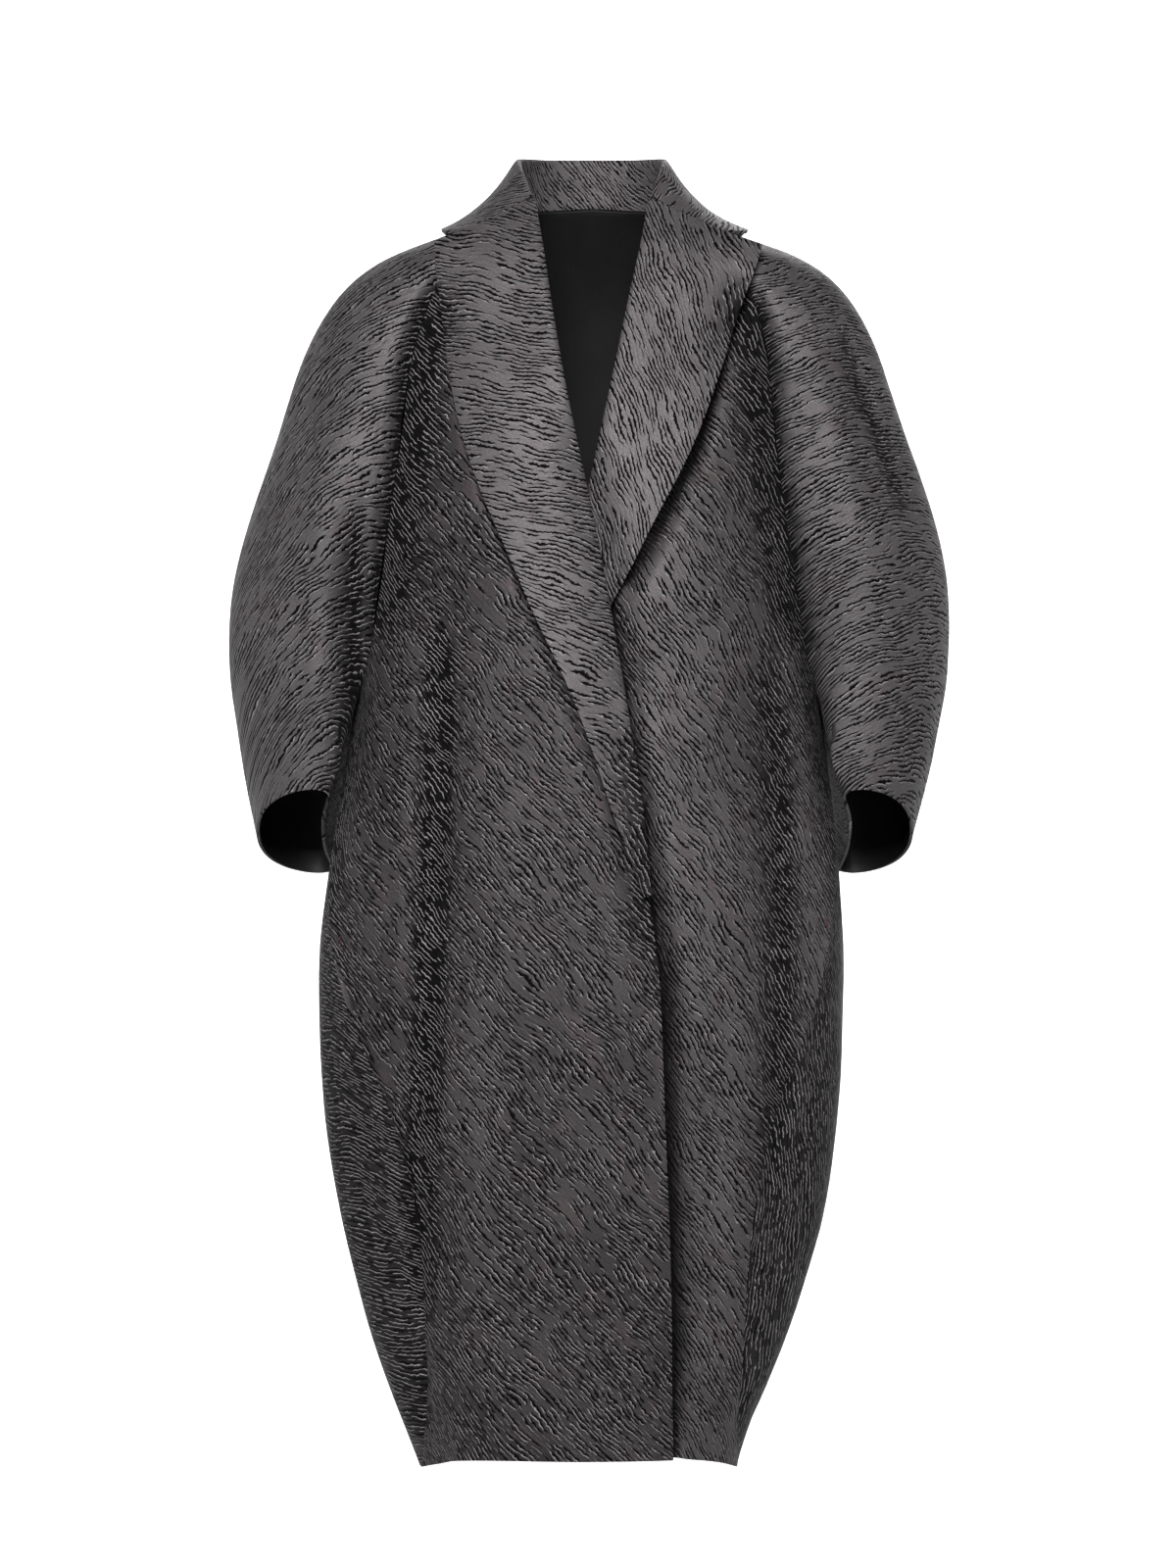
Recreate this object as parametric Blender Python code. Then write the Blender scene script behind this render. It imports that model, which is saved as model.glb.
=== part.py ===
# Cocoon-shaped cape coat with deep raglan sleeves, long lapels and a turn-down collar.
# It keeps its worn, hollow form. Sizes in this file are millimetres unless a name says otherwise.
# The front faces -Y and +X is the wearer's left. The origin is inside, at the base of the neck.

import math
from collections import namedtuple

import bmesh
import bpy
import numpy as np
from mathutils import Vector
from mathutils.bvhtree import BVHTree

MM = 0.001

# Cloth and the room left between pieces
WALL = 2.5
SEAM_GAP = 0.3
LAY_GAP = 0.9
POCKET_GAP = 0.5

# How many spots of each face are tried, and how often, when one piece is laid on another
FACE_SPOTS = 5
CLEAR_ROUNDS = 4
CORNER_SHARE = 0.2

# Panels that meet at a seam within this angle share a normal there, and edges past the other are sharp
SHARED_NORMAL_LIMIT = math.radians(75)
SHARP_EDGE = math.radians(50)

# The two sides of the wearer, as the sign of X
RIGHT = -1
LEFT = 1

# Rows and columns of the panels
SIDE_ROWS = 12
ARM_ROWS = 16
CUFF_ROWS = 4
FRONT_COLUMNS = 14
BACK_COLUMNS = 24
HALF_SLEEVE_COLUMNS = 11
LAPEL_ROWS = 18
LAPEL_COLUMNS = 6
COLLAR_COLUMNS = 26
CURVE_SAMPLES = 120

# The body of the coat, by level: half width, depth before and behind the middle, and its lean to the left
SQUARENESS = 2.3
BodySection = namedtuple("BodySection", "level half_width front_depth back_depth shift")
BODY = (
    BodySection(-1035, 124, 122, 140, -4),
    BodySection(-988, 144, 130, 151, -4),
    BodySection(-948, 160, 137, 161, -4),
    BodySection(-892, 178, 146, 174, -4),
    BodySection(-836, 192, 154, 186, -4),
    BodySection(-788, 203, 159, 194, -4),
    BodySection(-724, 211, 164, 201, -4),
    BodySection(-650, 216, 167, 205, -4),
    BodySection(-577, 214, 167, 204, -3),
    BodySection(-502, 204, 164, 200, -2),
    BodySection(-405, 190, 156, 190, 0),
    BodySection(-300, 184, 146, 174, 0),
    BodySection(-195, 178, 130, 152, 0),
    BodySection(-116, 172, 111, 130, 1),
    BodySection(-60, 160, 92, 108, 2),
    BodySection(-30, 132, 79, 90, 3),
    BodySection(0, 72, 62, 69, 3),
    BodySection(14, 56, 54, 60, 3),
)

# The largest folds of the body: angles are from the middle of the front, towards the wearer's left
BodyFold = namedtuple("BodyFold", "top bottom top_angle bottom_angle depth width")
BODY_FOLDS = (
    BodyFold(-380, -1200, -42, -66, -9, 9),
    BodyFold(-430, -1200, -64, -92, 5, 11),
    BodyFold(-300, -900, 47, 58, -7, 9),
    BodyFold(-520, -1200, 24, 40, -4, 8),
    BodyFold(-220, -1200, 150, 140, -8, 10),
    BodyFold(-260, -1200, 205, 216, -7, 9),
    BodyFold(-480, -1200, 178, 182, 6, 12),
)
FOLD_FADE = 160

# The hem is higher at the middle of the front than at the sides
HEM_FRONT = -1005
HEM_SIDE_DROP = 19
HEM_DROP_POWER = 5
HEM_BACK_RISE = 6

# The seam between front and back, which swings forward low at each side
SeamPoint = namedtuple("SeamPoint", "level reach")
SIDE_SEAM = (
    SeamPoint(-1035, 124),
    SeamPoint(-1018, 129),
    SeamPoint(-950, 131),
    SeamPoint(-863, 131),
    SeamPoint(-822, 134),
    SeamPoint(-758, 150),
    SeamPoint(-692, 174),
    SeamPoint(-655, 186),
    SeamPoint(-610, 198),
    SeamPoint(-546, 202),
    SeamPoint(-480, 199),
    SeamPoint(-405, 190),
)

# The roll line and front edge: reach is how far it passes the middle, towards the other side
FRONT_EDGE = (
    SeamPoint(-1040, 70),
    SeamPoint(-932, 68),
    SeamPoint(-827, 66),
    SeamPoint(-724, 62),
    SeamPoint(-622, 58),
    SeamPoint(-568, 52),
    SeamPoint(-482, 42),
    SeamPoint(-386, 26),
    SeamPoint(-330, 17),
    SeamPoint(-235, 0),
    SeamPoint(-157, -16),
    SeamPoint(-89, -29),
    SeamPoint(-36, -39),
    SeamPoint(3, -46),
    SeamPoint(14, -49),
)

# The right front lies over the left one, and sinks back to the body before its own seam
LAP_RISE = 8.5
LAP_TOP = -40
LAP_FULL = -190
LAP_MARGIN = 10
LAP_FADE = 0.8

# From the neck, at 0, to the underarm, at 1: both raglan seams and the line over the arm
ArmRow = namedtuple(
    "ArmRow",
    "way front_reach front_level back_reach back_level over_reach over_level edge_level",
)
ARM = (
    ArmRow(0.00, 64, 0, 50, 4, 72, -1, 5),
    ArmRow(0.08, 92, -25, 78, -22, 112, -21, -22),
    ArmRow(0.16, 115, -52, 102, -52, 150, -32, -52),
    ArmRow(0.25, 132, -84, 122, -90, 194, -56, -86),
    ArmRow(0.35, 144, -125, 138, -134, 227, -105, -126),
    ArmRow(0.50, 151, -195, 150, -200, 254, -190, -195),
    ArmRow(0.65, 161, -262, 162, -266, 281, -265, -260),
    ArmRow(0.80, 171, -330, 174, -332, 294, -340, -325),
    ArmRow(0.90, 178, -374, 182, -374, 293, -385, -370),
    ArmRow(0.96, 186, -397, 188, -397, 290, -405, -396),
    ArmRow(1.00, 190, -405, 190, -405, 288, -418, -414),
)
OVER_DEPTH = 6
UNDERARM_CLOSENESS = 0.16

# How far the sleeve stands out beside each raglan seam
SleeveSwell = namedtuple("SleeveSwell", "way front back")
SLEEVE_SWELL = (
    SleeveSwell(0.0, 0, 0),
    SleeveSwell(0.2, 1, 3),
    SleeveSwell(0.4, 9, 11),
    SleeveSwell(0.6, 18, 20),
    SleeveSwell(0.8, 22, 22),
    SleeveSwell(0.9, 18, 17),
    SleeveSwell(1.0, 10, 10),
    SleeveSwell(1.5, 4, 3),
)
SLEEVE_SQUARENESS = 2.4
FRONT_SWELL_LEAN = 0.55
BACK_SWELL_LEAN = 0.8

# Below the underarm the sleeve is a ring: its inner side and its two inner corners, from underarm to cuff
CORNERS_FROM = 0.72
CORNER_SOFTNESS = 9
CORNER_LEAST = 0.5
INNER_BULGE = 2
INNER_BEND = 0.55
RingRow = namedtuple(
    "RingRow",
    "drop inner_reach front_reach front_depth back_reach back_depth over_reach level slant",
)
RING = (
    RingRow(0.0, 190, 186, -84, 189, 90, 288, -412, 0.0),
    RingRow(0.5, 205, 193, -87, 198, 82, 280, -465, 0.2),
    RingRow(1.0, 215, 200, -86, 204, 68, 271, -509, 0.46),
)
SLANT_CENTRE = -5

# Soft folds of each sleeve: across is 0 at the front seam, 0.5 over the arm and 1 at the back seam
SleeveFold = namedtuple("SleeveFold", "side top bottom top_across bottom_across depth width")
SLEEVE_FOLDS = (
    SleeveFold(LEFT, 0.22, 0.95, 0.27, 0.31, -6, 0.045),
    SleeveFold(LEFT, 0.55, 1.40, 0.66, 0.72, -5, 0.05),
    SleeveFold(RIGHT, 0.25, 0.80, 0.24, 0.30, -4, 0.045),
    SleeveFold(RIGHT, 0.60, 1.40, 0.70, 0.66, -5, 0.05),
)
SLEEVE_FOLD_FADE = 0.18

# The outer edge of each lapel, from its lower end to its corner
LAPEL_EDGE = {
    RIGHT: (
        SeamPoint(-572, 52),
        SeamPoint(-539, 38),
        SeamPoint(-486, 18),
        SeamPoint(-439, 3),
        SeamPoint(-386, -17),
        SeamPoint(-338, -39),
        SeamPoint(-289, -59),
        SeamPoint(-235, -83),
        SeamPoint(-184, -100),
        SeamPoint(-129, -112),
        SeamPoint(-91, -117),
        SeamPoint(-37, -122),
    ),
    LEFT: (
        SeamPoint(-420, 31),
        SeamPoint(-374, 8),
        SeamPoint(-323, -20),
        SeamPoint(-297, -34),
        SeamPoint(-262, -51),
        SeamPoint(-230, -68),
        SeamPoint(-193, -85),
        SeamPoint(-157, -98),
        SeamPoint(-116, -111),
        SeamPoint(-78, -120),
        SeamPoint(-39, -126),
    ),
}
LAPEL_START = 0.03
LAPEL_TOP_LEVEL = 2
ROLL_INSET = 4.0
ROLL_INSET_ABOVE_BREAK = (-10, 25)
ROLL_INSET_TOP = 8.0
ROLL_INSET_TOP_LEVELS = (-140, -50)
ROLL_PUFF = 2.5
ROLL_PUFF_WIDTH = 0.12
PUFF_FROM = {RIGHT: -520, LEFT: -290}
PUFF_FADE = 60
LAPEL_EDGE_LIFT = 1.2

# The turn of the roll: how far each of its points goes past the roll line, and how far out
RollPoint = namedtuple("RollPoint", "past out")
ROLL_TURN = (
    RollPoint(0.0, -2.0),
    RollPoint(0.5, 1.2),
    RollPoint(-2.6, WALL + LAY_GAP + 0.7),
)

# The collar, from the middle of the back, at 0, to its front end, at 1: the fold and the outer edge
CollarRow = namedtuple("CollarRow", "way fold_x fold_y fold_z edge_x edge_y edge_z")
COLLAR = (
    CollarRow(0.00, 0, 62, 49, 0, 102, -36),
    CollarRow(0.25, 33, 53, 48, 64, 92, -35),
    CollarRow(0.50, 54, 27, 46, 108, 58, -26),
    CollarRow(0.70, 57, -2, 41, 121, 16, -16),
    CollarRow(0.85, 54, -26, 29, 123, -14, -16),
    CollarRow(1.00, 47, -47, 8, 121, -36, -20),
)
COLLAR_SHIFT = 3
COLLAR_FRONT_ANGLE = 56
NECK_CLEAR = 0.35
STAND_SHARE = 0.4
STAND_SAG = 2.0
STAND_TOP = 5.0
FOLD_SHOULDER_OUT = 0.8
FOLD_SHOULDER_DOWN = 1.4
FOLD_TURN = 6.5
FOLD_DOWN = 1.8
LEAF_FACES_UP = 0.7
LEAF_BEND_ALONG = 0.38
LEAF_BEND_UP = 0.35
LEAF_ROWS = 6
GORGE_FROM = 0.72
GORGE_SHARE = 0.7
GORGE_GAP = 1.1

# The neckline, by angle from the middle of the front
NeckPoint = namedtuple("NeckPoint", "angle level")
NECKLINE = (
    NeckPoint(40, 9),
    NeckPoint(50, 5),
    NeckPoint(64, 0),
    NeckPoint(90, -1),
    NeckPoint(134, 4),
    NeckPoint(180, 8),
)
NECK_ROWS_FROM = 1.6

# The pocket in each side seam
POCKET_TOP = -448
POCKET_BOTTOM = -596
POCKET_ROWS = (8, 11)
POCKET_COLUMNS = 3
POCKET_WALL = 2.0
MOUTH_LIFT = 2.2

# Cloths, with linear colours: the coat, the same cloth on the lapels and collar, and the dark pocket lining
Cloth = namedtuple("Cloth", "name colour roughness")
COAT_CLOTH = Cloth("coat_cloth", (0.085, 0.080, 0.082, 1.0), 0.5)
LAPEL_CLOTH = Cloth("lapel_cloth", (0.110, 0.103, 0.106, 1.0), 0.45)
POCKET_LINING = Cloth("pocket_lining", (0.012, 0.011, 0.012, 1.0), 0.6)


def smooth_step(low, high, value):
    t = np.clip((np.asarray(value, float) - low) / (high - low), 0.0, 1.0)
    return t * t * (3.0 - 2.0 * t)


def curve_through(knots, values):
    """A smooth curve through values at rising knots, as a function of a number or an array."""
    knots = np.asarray(knots, float)
    values = np.asarray(values, float)
    slopes = np.gradient(values, knots, axis=0)

    def at(place):
        place = np.clip(np.asarray(place, float), knots[0], knots[-1])
        i = np.clip(np.searchsorted(knots, place) - 1, 0, len(knots) - 2)
        span = knots[i + 1] - knots[i]
        t = (place - knots[i]) / span
        if values.ndim == 2:
            t = t[..., None]
            span = span[..., None]
        rise = t * t * (3 - 2 * t)
        start = t * (1 - t) ** 2 * span
        end = t * t * (t - 1) * span
        return values[i] * (1 - rise) + values[i + 1] * rise + slopes[i] * start + slopes[i + 1] * end

    return at


def table_curve(table):
    return curve_through([row[0] for row in table], [row[1:] for row in table])


body_at = table_curve(BODY)
side_seam_at = curve_through([p.level for p in SIDE_SEAM], [p.reach for p in SIDE_SEAM])
front_edge_at = curve_through([p.level for p in FRONT_EDGE], [p.reach for p in FRONT_EDGE])
arm_at = table_curve(ARM)
swell_at = table_curve(SLEEVE_SWELL)
ring_at = table_curve(RING)
collar_at = table_curve(COLLAR)
neckline_at = curve_through([p.angle for p in NECKLINE], [p.level for p in NECKLINE])
front_raglan_at = curve_through([-r.front_level for r in ARM], [r.front_reach for r in ARM])


def body_fold(angle, level):
    """How far the largest folds move the body's surface out."""
    total = np.zeros(np.broadcast(angle, level).shape)
    turn = np.degrees(angle) % 360
    for fold in BODY_FOLDS:
        along = np.clip((fold.top - level) / (fold.top - fold.bottom), 0, 1)
        centre = (fold.top_angle + (fold.bottom_angle - fold.top_angle) * along) % 360
        away = (turn - centre + 180) % 360 - 180
        shown = smooth_step(0, FOLD_FADE, fold.top - level) * smooth_step(0, FOLD_FADE, level - fold.bottom)
        total = total + fold.depth * np.exp(-((away / fold.width) ** 2)) * shown
    return total


def body_point(angle, level, out=0.0):
    """A point of the body at an angle from the middle of the front, towards the wearer's left."""
    angle, level = np.broadcast_arrays(np.asarray(angle, float), np.asarray(level, float))
    half_width, front_depth, back_depth, shift = np.moveaxis(body_at(level), -1, 0)
    depth = np.where(np.cos(angle) > 0, front_depth, back_depth)
    across = np.abs(np.sin(angle)) / half_width
    deep = np.abs(np.cos(angle)) / depth
    radius = (across**SQUARENESS + deep**SQUARENESS) ** (-1 / SQUARENESS)
    radius = radius + body_fold(angle, level) + out
    return np.stack([radius * np.sin(angle) + shift, -radius * np.cos(angle), level], axis=-1)


def body_angle(reach, level, front=True):
    """The angle of the body's point that lies reach to the wearer's left of the body's middle."""
    half_width, front_depth, back_depth, _ = np.moveaxis(body_at(level), -1, 0)
    share = np.minimum(np.abs(reach) / half_width, 1.0)
    deep = (front_depth if front else back_depth) * (1 - share**SQUARENESS) ** (1 / SQUARENESS)
    angle = np.arctan2(np.abs(reach), deep)
    return np.sign(reach) * (angle if front else math.pi - angle)


def hem_level(angle):
    sides = np.abs(np.sin(angle)) ** HEM_DROP_POWER
    rise = np.where(np.cos(angle) < 0, HEM_BACK_RISE * np.abs(np.cos(angle)), 0.0)
    front = HEM_FRONT - HEM_SIDE_DROP * sides
    return np.where(np.cos(angle) < 0, HEM_FRONT - HEM_SIDE_DROP + rise, front)


def lap_rise(reach, level):
    """How far the right front lies out from the body; reach is measured towards its own edge."""
    edge = front_edge_at(level)
    full = np.maximum(2 * edge, 0) + LAP_MARGIN
    seam = np.where(level < ARM[-1].front_level, side_seam_at(level), front_raglan_at(-level))
    fade = smooth_step(0, LAP_FADE, (edge - reach - full) / (edge + seam - full))
    return LAP_RISE * (1 - fade) * smooth_step(-LAP_TOP, -LAP_FULL, -np.asarray(level, float))


def body_rows():
    """Places of the panels' rows, from hem (0) through underarm (1) to neck (2)."""
    return np.concatenate([np.linspace(0, 1, SIDE_ROWS + 1), np.linspace(1, 2, ARM_ROWS + 1)[1:]])


def arm_way(row):
    """From a panel's row above the underarm to the way along the raglan seams, closer near the underarm."""
    way = 2.0 - np.asarray(row, float)
    return way + UNDERARM_CLOSENESS * np.sin(math.pi * way) * way


def seam_line(side, rows, front):
    """Angles and levels of the front's or the back's outer edge: the side seam, then the raglan seam."""
    low = hem_level(math.pi / 2)
    underarm = ARM[-1].front_level
    side_level = low + (underarm - low) * np.minimum(rows, 1.0)
    side_reach = side_seam_at(side_level)
    arm = arm_at(np.clip(arm_way(rows), 0, 1))
    arm_reach = arm[:, 0] if front else arm[:, 2]
    arm_level = arm[:, 1] if front else arm[:, 3]
    below = rows <= 1
    angle = np.where(
        below, body_angle(side_reach, side_level), body_angle(arm_reach, arm_level, front)
    )
    return side * angle, np.where(below, side_level, arm_level)


def front_grid(side):
    """Points of a front, hem to neck by its edge to its seam."""
    rows = body_rows()
    seam_angle, seam_level = seam_line(side, rows, True)
    underarm_edge = ARM[-1].edge_level
    edge_level = np.where(
        rows <= 1,
        HEM_FRONT + (underarm_edge - HEM_FRONT) * rows,
        arm_at(np.clip(arm_way(rows), 0, 1))[:, 6],
    )
    break_level = LAPEL_EDGE[side][0].level
    inset = ROLL_INSET * smooth_step(*ROLL_INSET_ABOVE_BREAK, edge_level - break_level)
    inset = inset + (ROLL_INSET_TOP - ROLL_INSET) * smooth_step(*ROLL_INSET_TOP_LEVELS, edge_level)
    edge_angle = body_angle(-side * (front_edge_at(edge_level) - inset), edge_level)
    u = np.linspace(0, 1, FRONT_COLUMNS + 1)
    angle = edge_angle[:, None] * (1 - u) + seam_angle[:, None] * u
    level = edge_level[:, None] * (1 - u) + seam_level[:, None] * u
    hem = (hem_level(angle[0]) - level[0])[None, :]
    level = level + hem * np.clip(1 - rows, 0, 1)[:, None] ** 2
    neck = neckline_at(np.abs(np.degrees(angle[-1]))) - level[-1]
    level = level + neck * smooth_step(NECK_ROWS_FROM, 2.0, rows)[:, None]
    points = body_point(angle, level)
    if side == RIGHT:
        shift = body_at(level)[..., 3]
        points = body_point(angle, level, lap_rise(points[..., 0] - shift, level))
    return points


def back_grid():
    """Points of the back, hem to neck, from the wearer's right to the left."""
    rows = body_rows()
    low_angle, low_level = seam_line(RIGHT, rows, False)
    high_angle, high_level = seam_line(LEFT, rows, False)
    u = np.linspace(0, 1, BACK_COLUMNS + 1)
    low_angle = low_angle[:, None] + 2 * math.pi
    angle = low_angle * (1 - u) + high_angle[:, None] * u
    level = low_level[:, None] * (1 - u) + high_level[:, None] * u
    hem = (hem_level(angle[0]) - level[0])[None, :]
    level = level + hem * np.clip(1 - rows, 0, 1)[:, None] ** 2
    around = 180 - np.abs(np.degrees(angle[-1]) - 180)
    neck = neckline_at(around) - level[-1]
    level = level + neck * smooth_step(NECK_ROWS_FROM, 2.0, rows)[:, None]
    return body_point(angle, level)


def resample(curve, count):
    """The same curve at count + 1 points, evenly spaced along it."""
    steps = np.linalg.norm(np.diff(curve, axis=0), axis=1)
    along = np.concatenate([[0], np.cumsum(steps)])
    places = np.linspace(0, along[-1], count + 1)
    return np.stack([np.interp(places, along, curve[:, k]) for k in range(3)], axis=1)


def soften(curve, spread):
    """The same curve with its corners rounded, over about spread of its samples; its ends stay."""
    reach = np.arange(-2 * spread, 2 * spread + 1)
    weight = np.exp(-((reach / spread) ** 2))
    weight = weight / weight.sum()
    before = 2 * curve[0] - curve[2 * spread : 0 : -1]
    after = 2 * curve[-1] - curve[-2 : -2 * spread - 2 : -1]
    longer = np.concatenate([before, curve, after])
    return np.stack([np.convolve(longer[:, k], weight, "valid") for k in range(3)], axis=1)


def half_ring(start, corner, over, swell, lean):
    """Half a sleeve row: along its inner side from start to corner, then round to the line over the arm."""
    t = np.linspace(0, 1, CURVE_SAMPLES)
    bend = np.array([start[0] + INNER_BULGE, corner[1] * INNER_BEND, (start[2] + corner[2]) / 2])
    t1 = t[:, None]
    inner = start * (1 - t1) ** 2 + 2 * bend * t1 * (1 - t1) + corner * t1**2
    power = 2 / SLEEVE_SQUARENESS
    across = np.sin(t * math.pi / 2) ** power
    deep = np.cos(t * math.pi / 2) ** power
    deep[-1] = 0
    bump = swell * np.sin(math.pi * t**lean)
    forward = np.sign(corner[1] - over[1])
    outer = np.stack(
        [
            corner[0] + (over[0] - corner[0]) * across,
            over[1] + (corner[1] - over[1]) * deep + forward * bump,
            corner[2] + (over[2] - corner[2]) * (1 - np.cos(math.pi * t)) / 2,
        ],
        axis=1,
    )
    if np.linalg.norm(corner - start) < CORNER_LEAST:
        return outer
    whole = resample(np.concatenate([inner[:-1], outer]), CURVE_SAMPLES)
    return soften(whole, CORNER_SOFTNESS)


def sleeve_row(front, back, way, over, front_corner, back_corner):
    swell = swell_at(way)
    ahead = resample(half_ring(front, front_corner, over, swell[0], FRONT_SWELL_LEAN), HALF_SLEEVE_COLUMNS)
    behind = resample(half_ring(back, back_corner, over, swell[1], BACK_SWELL_LEAN), HALF_SLEEVE_COLUMNS)
    return np.concatenate([ahead, behind[::-1][1:]])


def neck_row(start_angle, end_angle, count):
    angle = np.linspace(start_angle, end_angle, count + 1)
    return body_point(angle, neckline_at(np.abs(np.degrees(angle))))


def sleeve_grid(side, front_seam, back_seam):
    """Points of a sleeve, neck to cuff, from its front seam over the arm to its back seam."""
    flip = np.array([side, 1, 1])
    rows = body_rows()[::-1][: ARM_ROWS + 1]
    points = []
    under = ring_at(0.0)
    for way, ahead, behind in zip(arm_way(rows), front_seam * flip, back_seam * flip):
        arm = arm_at(way)
        over = np.array([arm[4], OVER_DEPTH, arm[5]])
        turn = smooth_step(CORNERS_FROM, 1.0, way)
        front_corner = ahead + turn * (np.array([under[1], under[2], (ahead[2] + arm[5]) / 2]) - ahead)
        back_corner = behind + turn * (np.array([under[3], under[4], (behind[2] + arm[5]) / 2]) - behind)
        points.append(sleeve_row(ahead, behind, way, over, front_corner, back_corner))
    start = body_angle(ARM[0].front_reach, ARM[0].front_level)
    end = body_angle(ARM[0].back_reach, ARM[0].back_level, False)
    points[0] = neck_row(start, end, 2 * HALF_SLEEVE_COLUMNS)
    top = points[-1]
    for drop in np.linspace(0, 1, CUFF_ROWS + 1)[1:]:
        inner, front_x, front_y, back_x, back_y, over_x, level, slant = ring_at(drop)
        seam = np.array([inner, 0, level])
        over = np.array([over_x, OVER_DEPTH * (1 - drop), level])
        front_corner = np.array([front_x, front_y, level])
        back_corner = np.array([back_x, back_y, level])
        row = sleeve_row(seam, seam, 1 + drop / 2, over, front_corner, back_corner)
        row[:, 2] -= slant * (row[:, 1] - SLANT_CENTRE)
        row[:, 2] += (top[:, 2] - under[6]) * (1 - drop) ** 2
        points.append(row)
    return np.array(points) * flip


def sleeve_folds(side, grid, normals):
    """The grid moved by its soft folds, which die out before its seams."""
    arm_rows = arm_way(body_rows()[::-1][: ARM_ROWS + 1])
    cuff_rows = 1 + np.arange(1, CUFF_ROWS + 1) / CUFF_ROWS / 2
    way = np.concatenate([arm_rows, cuff_rows])[:, None]
    across = np.linspace(0, 1, grid.shape[1])[None, :]
    move = np.zeros(grid.shape[:2])
    for fold in SLEEVE_FOLDS:
        if fold.side != side:
            continue
        along = np.clip((way - fold.top) / (fold.bottom - fold.top), 0, 1)
        centre = fold.top_across + (fold.bottom_across - fold.top_across) * along
        shown = smooth_step(0, SLEEVE_FOLD_FADE, way - fold.top)
        shown = shown * smooth_step(0, SLEEVE_FOLD_FADE, fold.bottom - way)
        move += fold.depth * np.exp(-(((across - centre) / fold.width) ** 2)) * shown
    return grid + normals * move[..., None]


def unit(vectors):
    return vectors / np.maximum(np.linalg.norm(vectors, axis=-1, keepdims=True), 1e-9)


def grid_normals(grid, outward, closed_from=None):
    """Unit normals of a grid, on the side of outward. Rows from closed_from on are rings."""
    across = np.gradient(grid, axis=1)
    if closed_from is not None:
        wrap = (grid[closed_from:, 1] - grid[closed_from:, -2]) / 2
        across[closed_from:, 0] = wrap
        across[closed_from:, -1] = wrap
    normals = unit(np.cross(across, np.gradient(grid, axis=0)))
    if np.sum(normals * outward) < 0:
        normals = -normals
    return normals


def share_normals(first, second):
    """Two panels that meet at a seam get one normal there, unless they fold back on each other."""
    together = np.sum(first * second, axis=-1, keepdims=True) > math.cos(SHARED_NORMAL_LIMIT)
    mean = unit(first + second)
    return np.where(together, mean, first), np.where(together, mean, second)


def pull_in(grid, column, towards, distance):
    """Moves a grid's edge column back along the cloth."""
    step = unit(grid[:, towards] - grid[:, column])
    grid[:, column] = grid[:, column] + step * distance


def cloth_material(cloth):
    material = bpy.data.materials.new(cloth.name)
    material.use_nodes = True
    shader = material.node_tree.nodes["Principled BSDF"]
    shader.inputs["Base Color"].default_value = cloth.colour
    shader.inputs["Roughness"].default_value = cloth.roughness
    shader.inputs["Metallic"].default_value = 0.0
    return material


def cloth_piece(name, outer, normals, wall, material, collection):
    """A closed wall: the outer points as a grid, extruded inwards."""
    bm = bmesh.new()
    rows, columns = outer.shape[:2]
    bmesh.ops.create_grid(bm, x_segments=columns - 1, y_segments=rows - 1, size=1)
    inward = bm.verts.layers.float_vector.new("inward")
    bm.verts.ensure_lookup_table()
    for vert, point, normal in zip(bm.verts, outer.reshape(-1, 3), normals.reshape(-1, 3)):
        vert.co = point * MM
        vert[inward] = -normal * wall * MM
    bmesh.ops.remove_doubles(bm, verts=bm.verts[:], dist=1e-7)
    made = bmesh.ops.extrude_face_region(bm, geom=bm.faces[:])
    inside = {item for item in made["geom"] if isinstance(item, bmesh.types.BMVert)}
    for vert in inside:
        vert.co = vert.co + vert[inward]
    bmesh.ops.recalc_face_normals(bm, faces=bm.faces[:])
    # Two edges that face each other across a seam are split the same way
    rims = [face for face in bm.faces if 0 < sum(vert in inside for vert in face.verts) < len(face.verts)]
    bmesh.ops.triangulate(bm, faces=rims, quad_method="SHORT_EDGE")
    mesh = bpy.data.meshes.new(name)
    bm.to_mesh(mesh)
    bm.free()
    mesh.shade_smooth()
    mesh.set_sharp_from_angle(angle=SHARP_EDGE)
    mesh.materials.append(material)
    piece = bpy.data.objects.new(name, mesh)
    collection.objects.link(piece)
    return piece


def from_middle(grid):
    """Directions from the coat's middle line to the points of a grid."""
    return grid * np.array([1, 1, 0])


def skin_of(panels):
    """The outer faces of panels, with the way out of each face."""
    points = []
    faces = []
    outs = []
    for grid, normals in panels:
        rows, columns = grid.shape[:2]
        first = len(points)
        points.extend(Vector(point) for point in grid.reshape(-1, 3))
        ways = normals.reshape(-1, 3)
        for row in range(rows - 1):
            for column in range(columns - 1):
                a = row * columns + column
                corners = (a, a + 1, a + columns + 1, a + columns)
                faces.append([first + corner for corner in corners])
                outs.append(Vector(ways[list(corners)].sum(axis=0)).normalized())
    return BVHTree.FromPolygons(points, faces), outs


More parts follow.
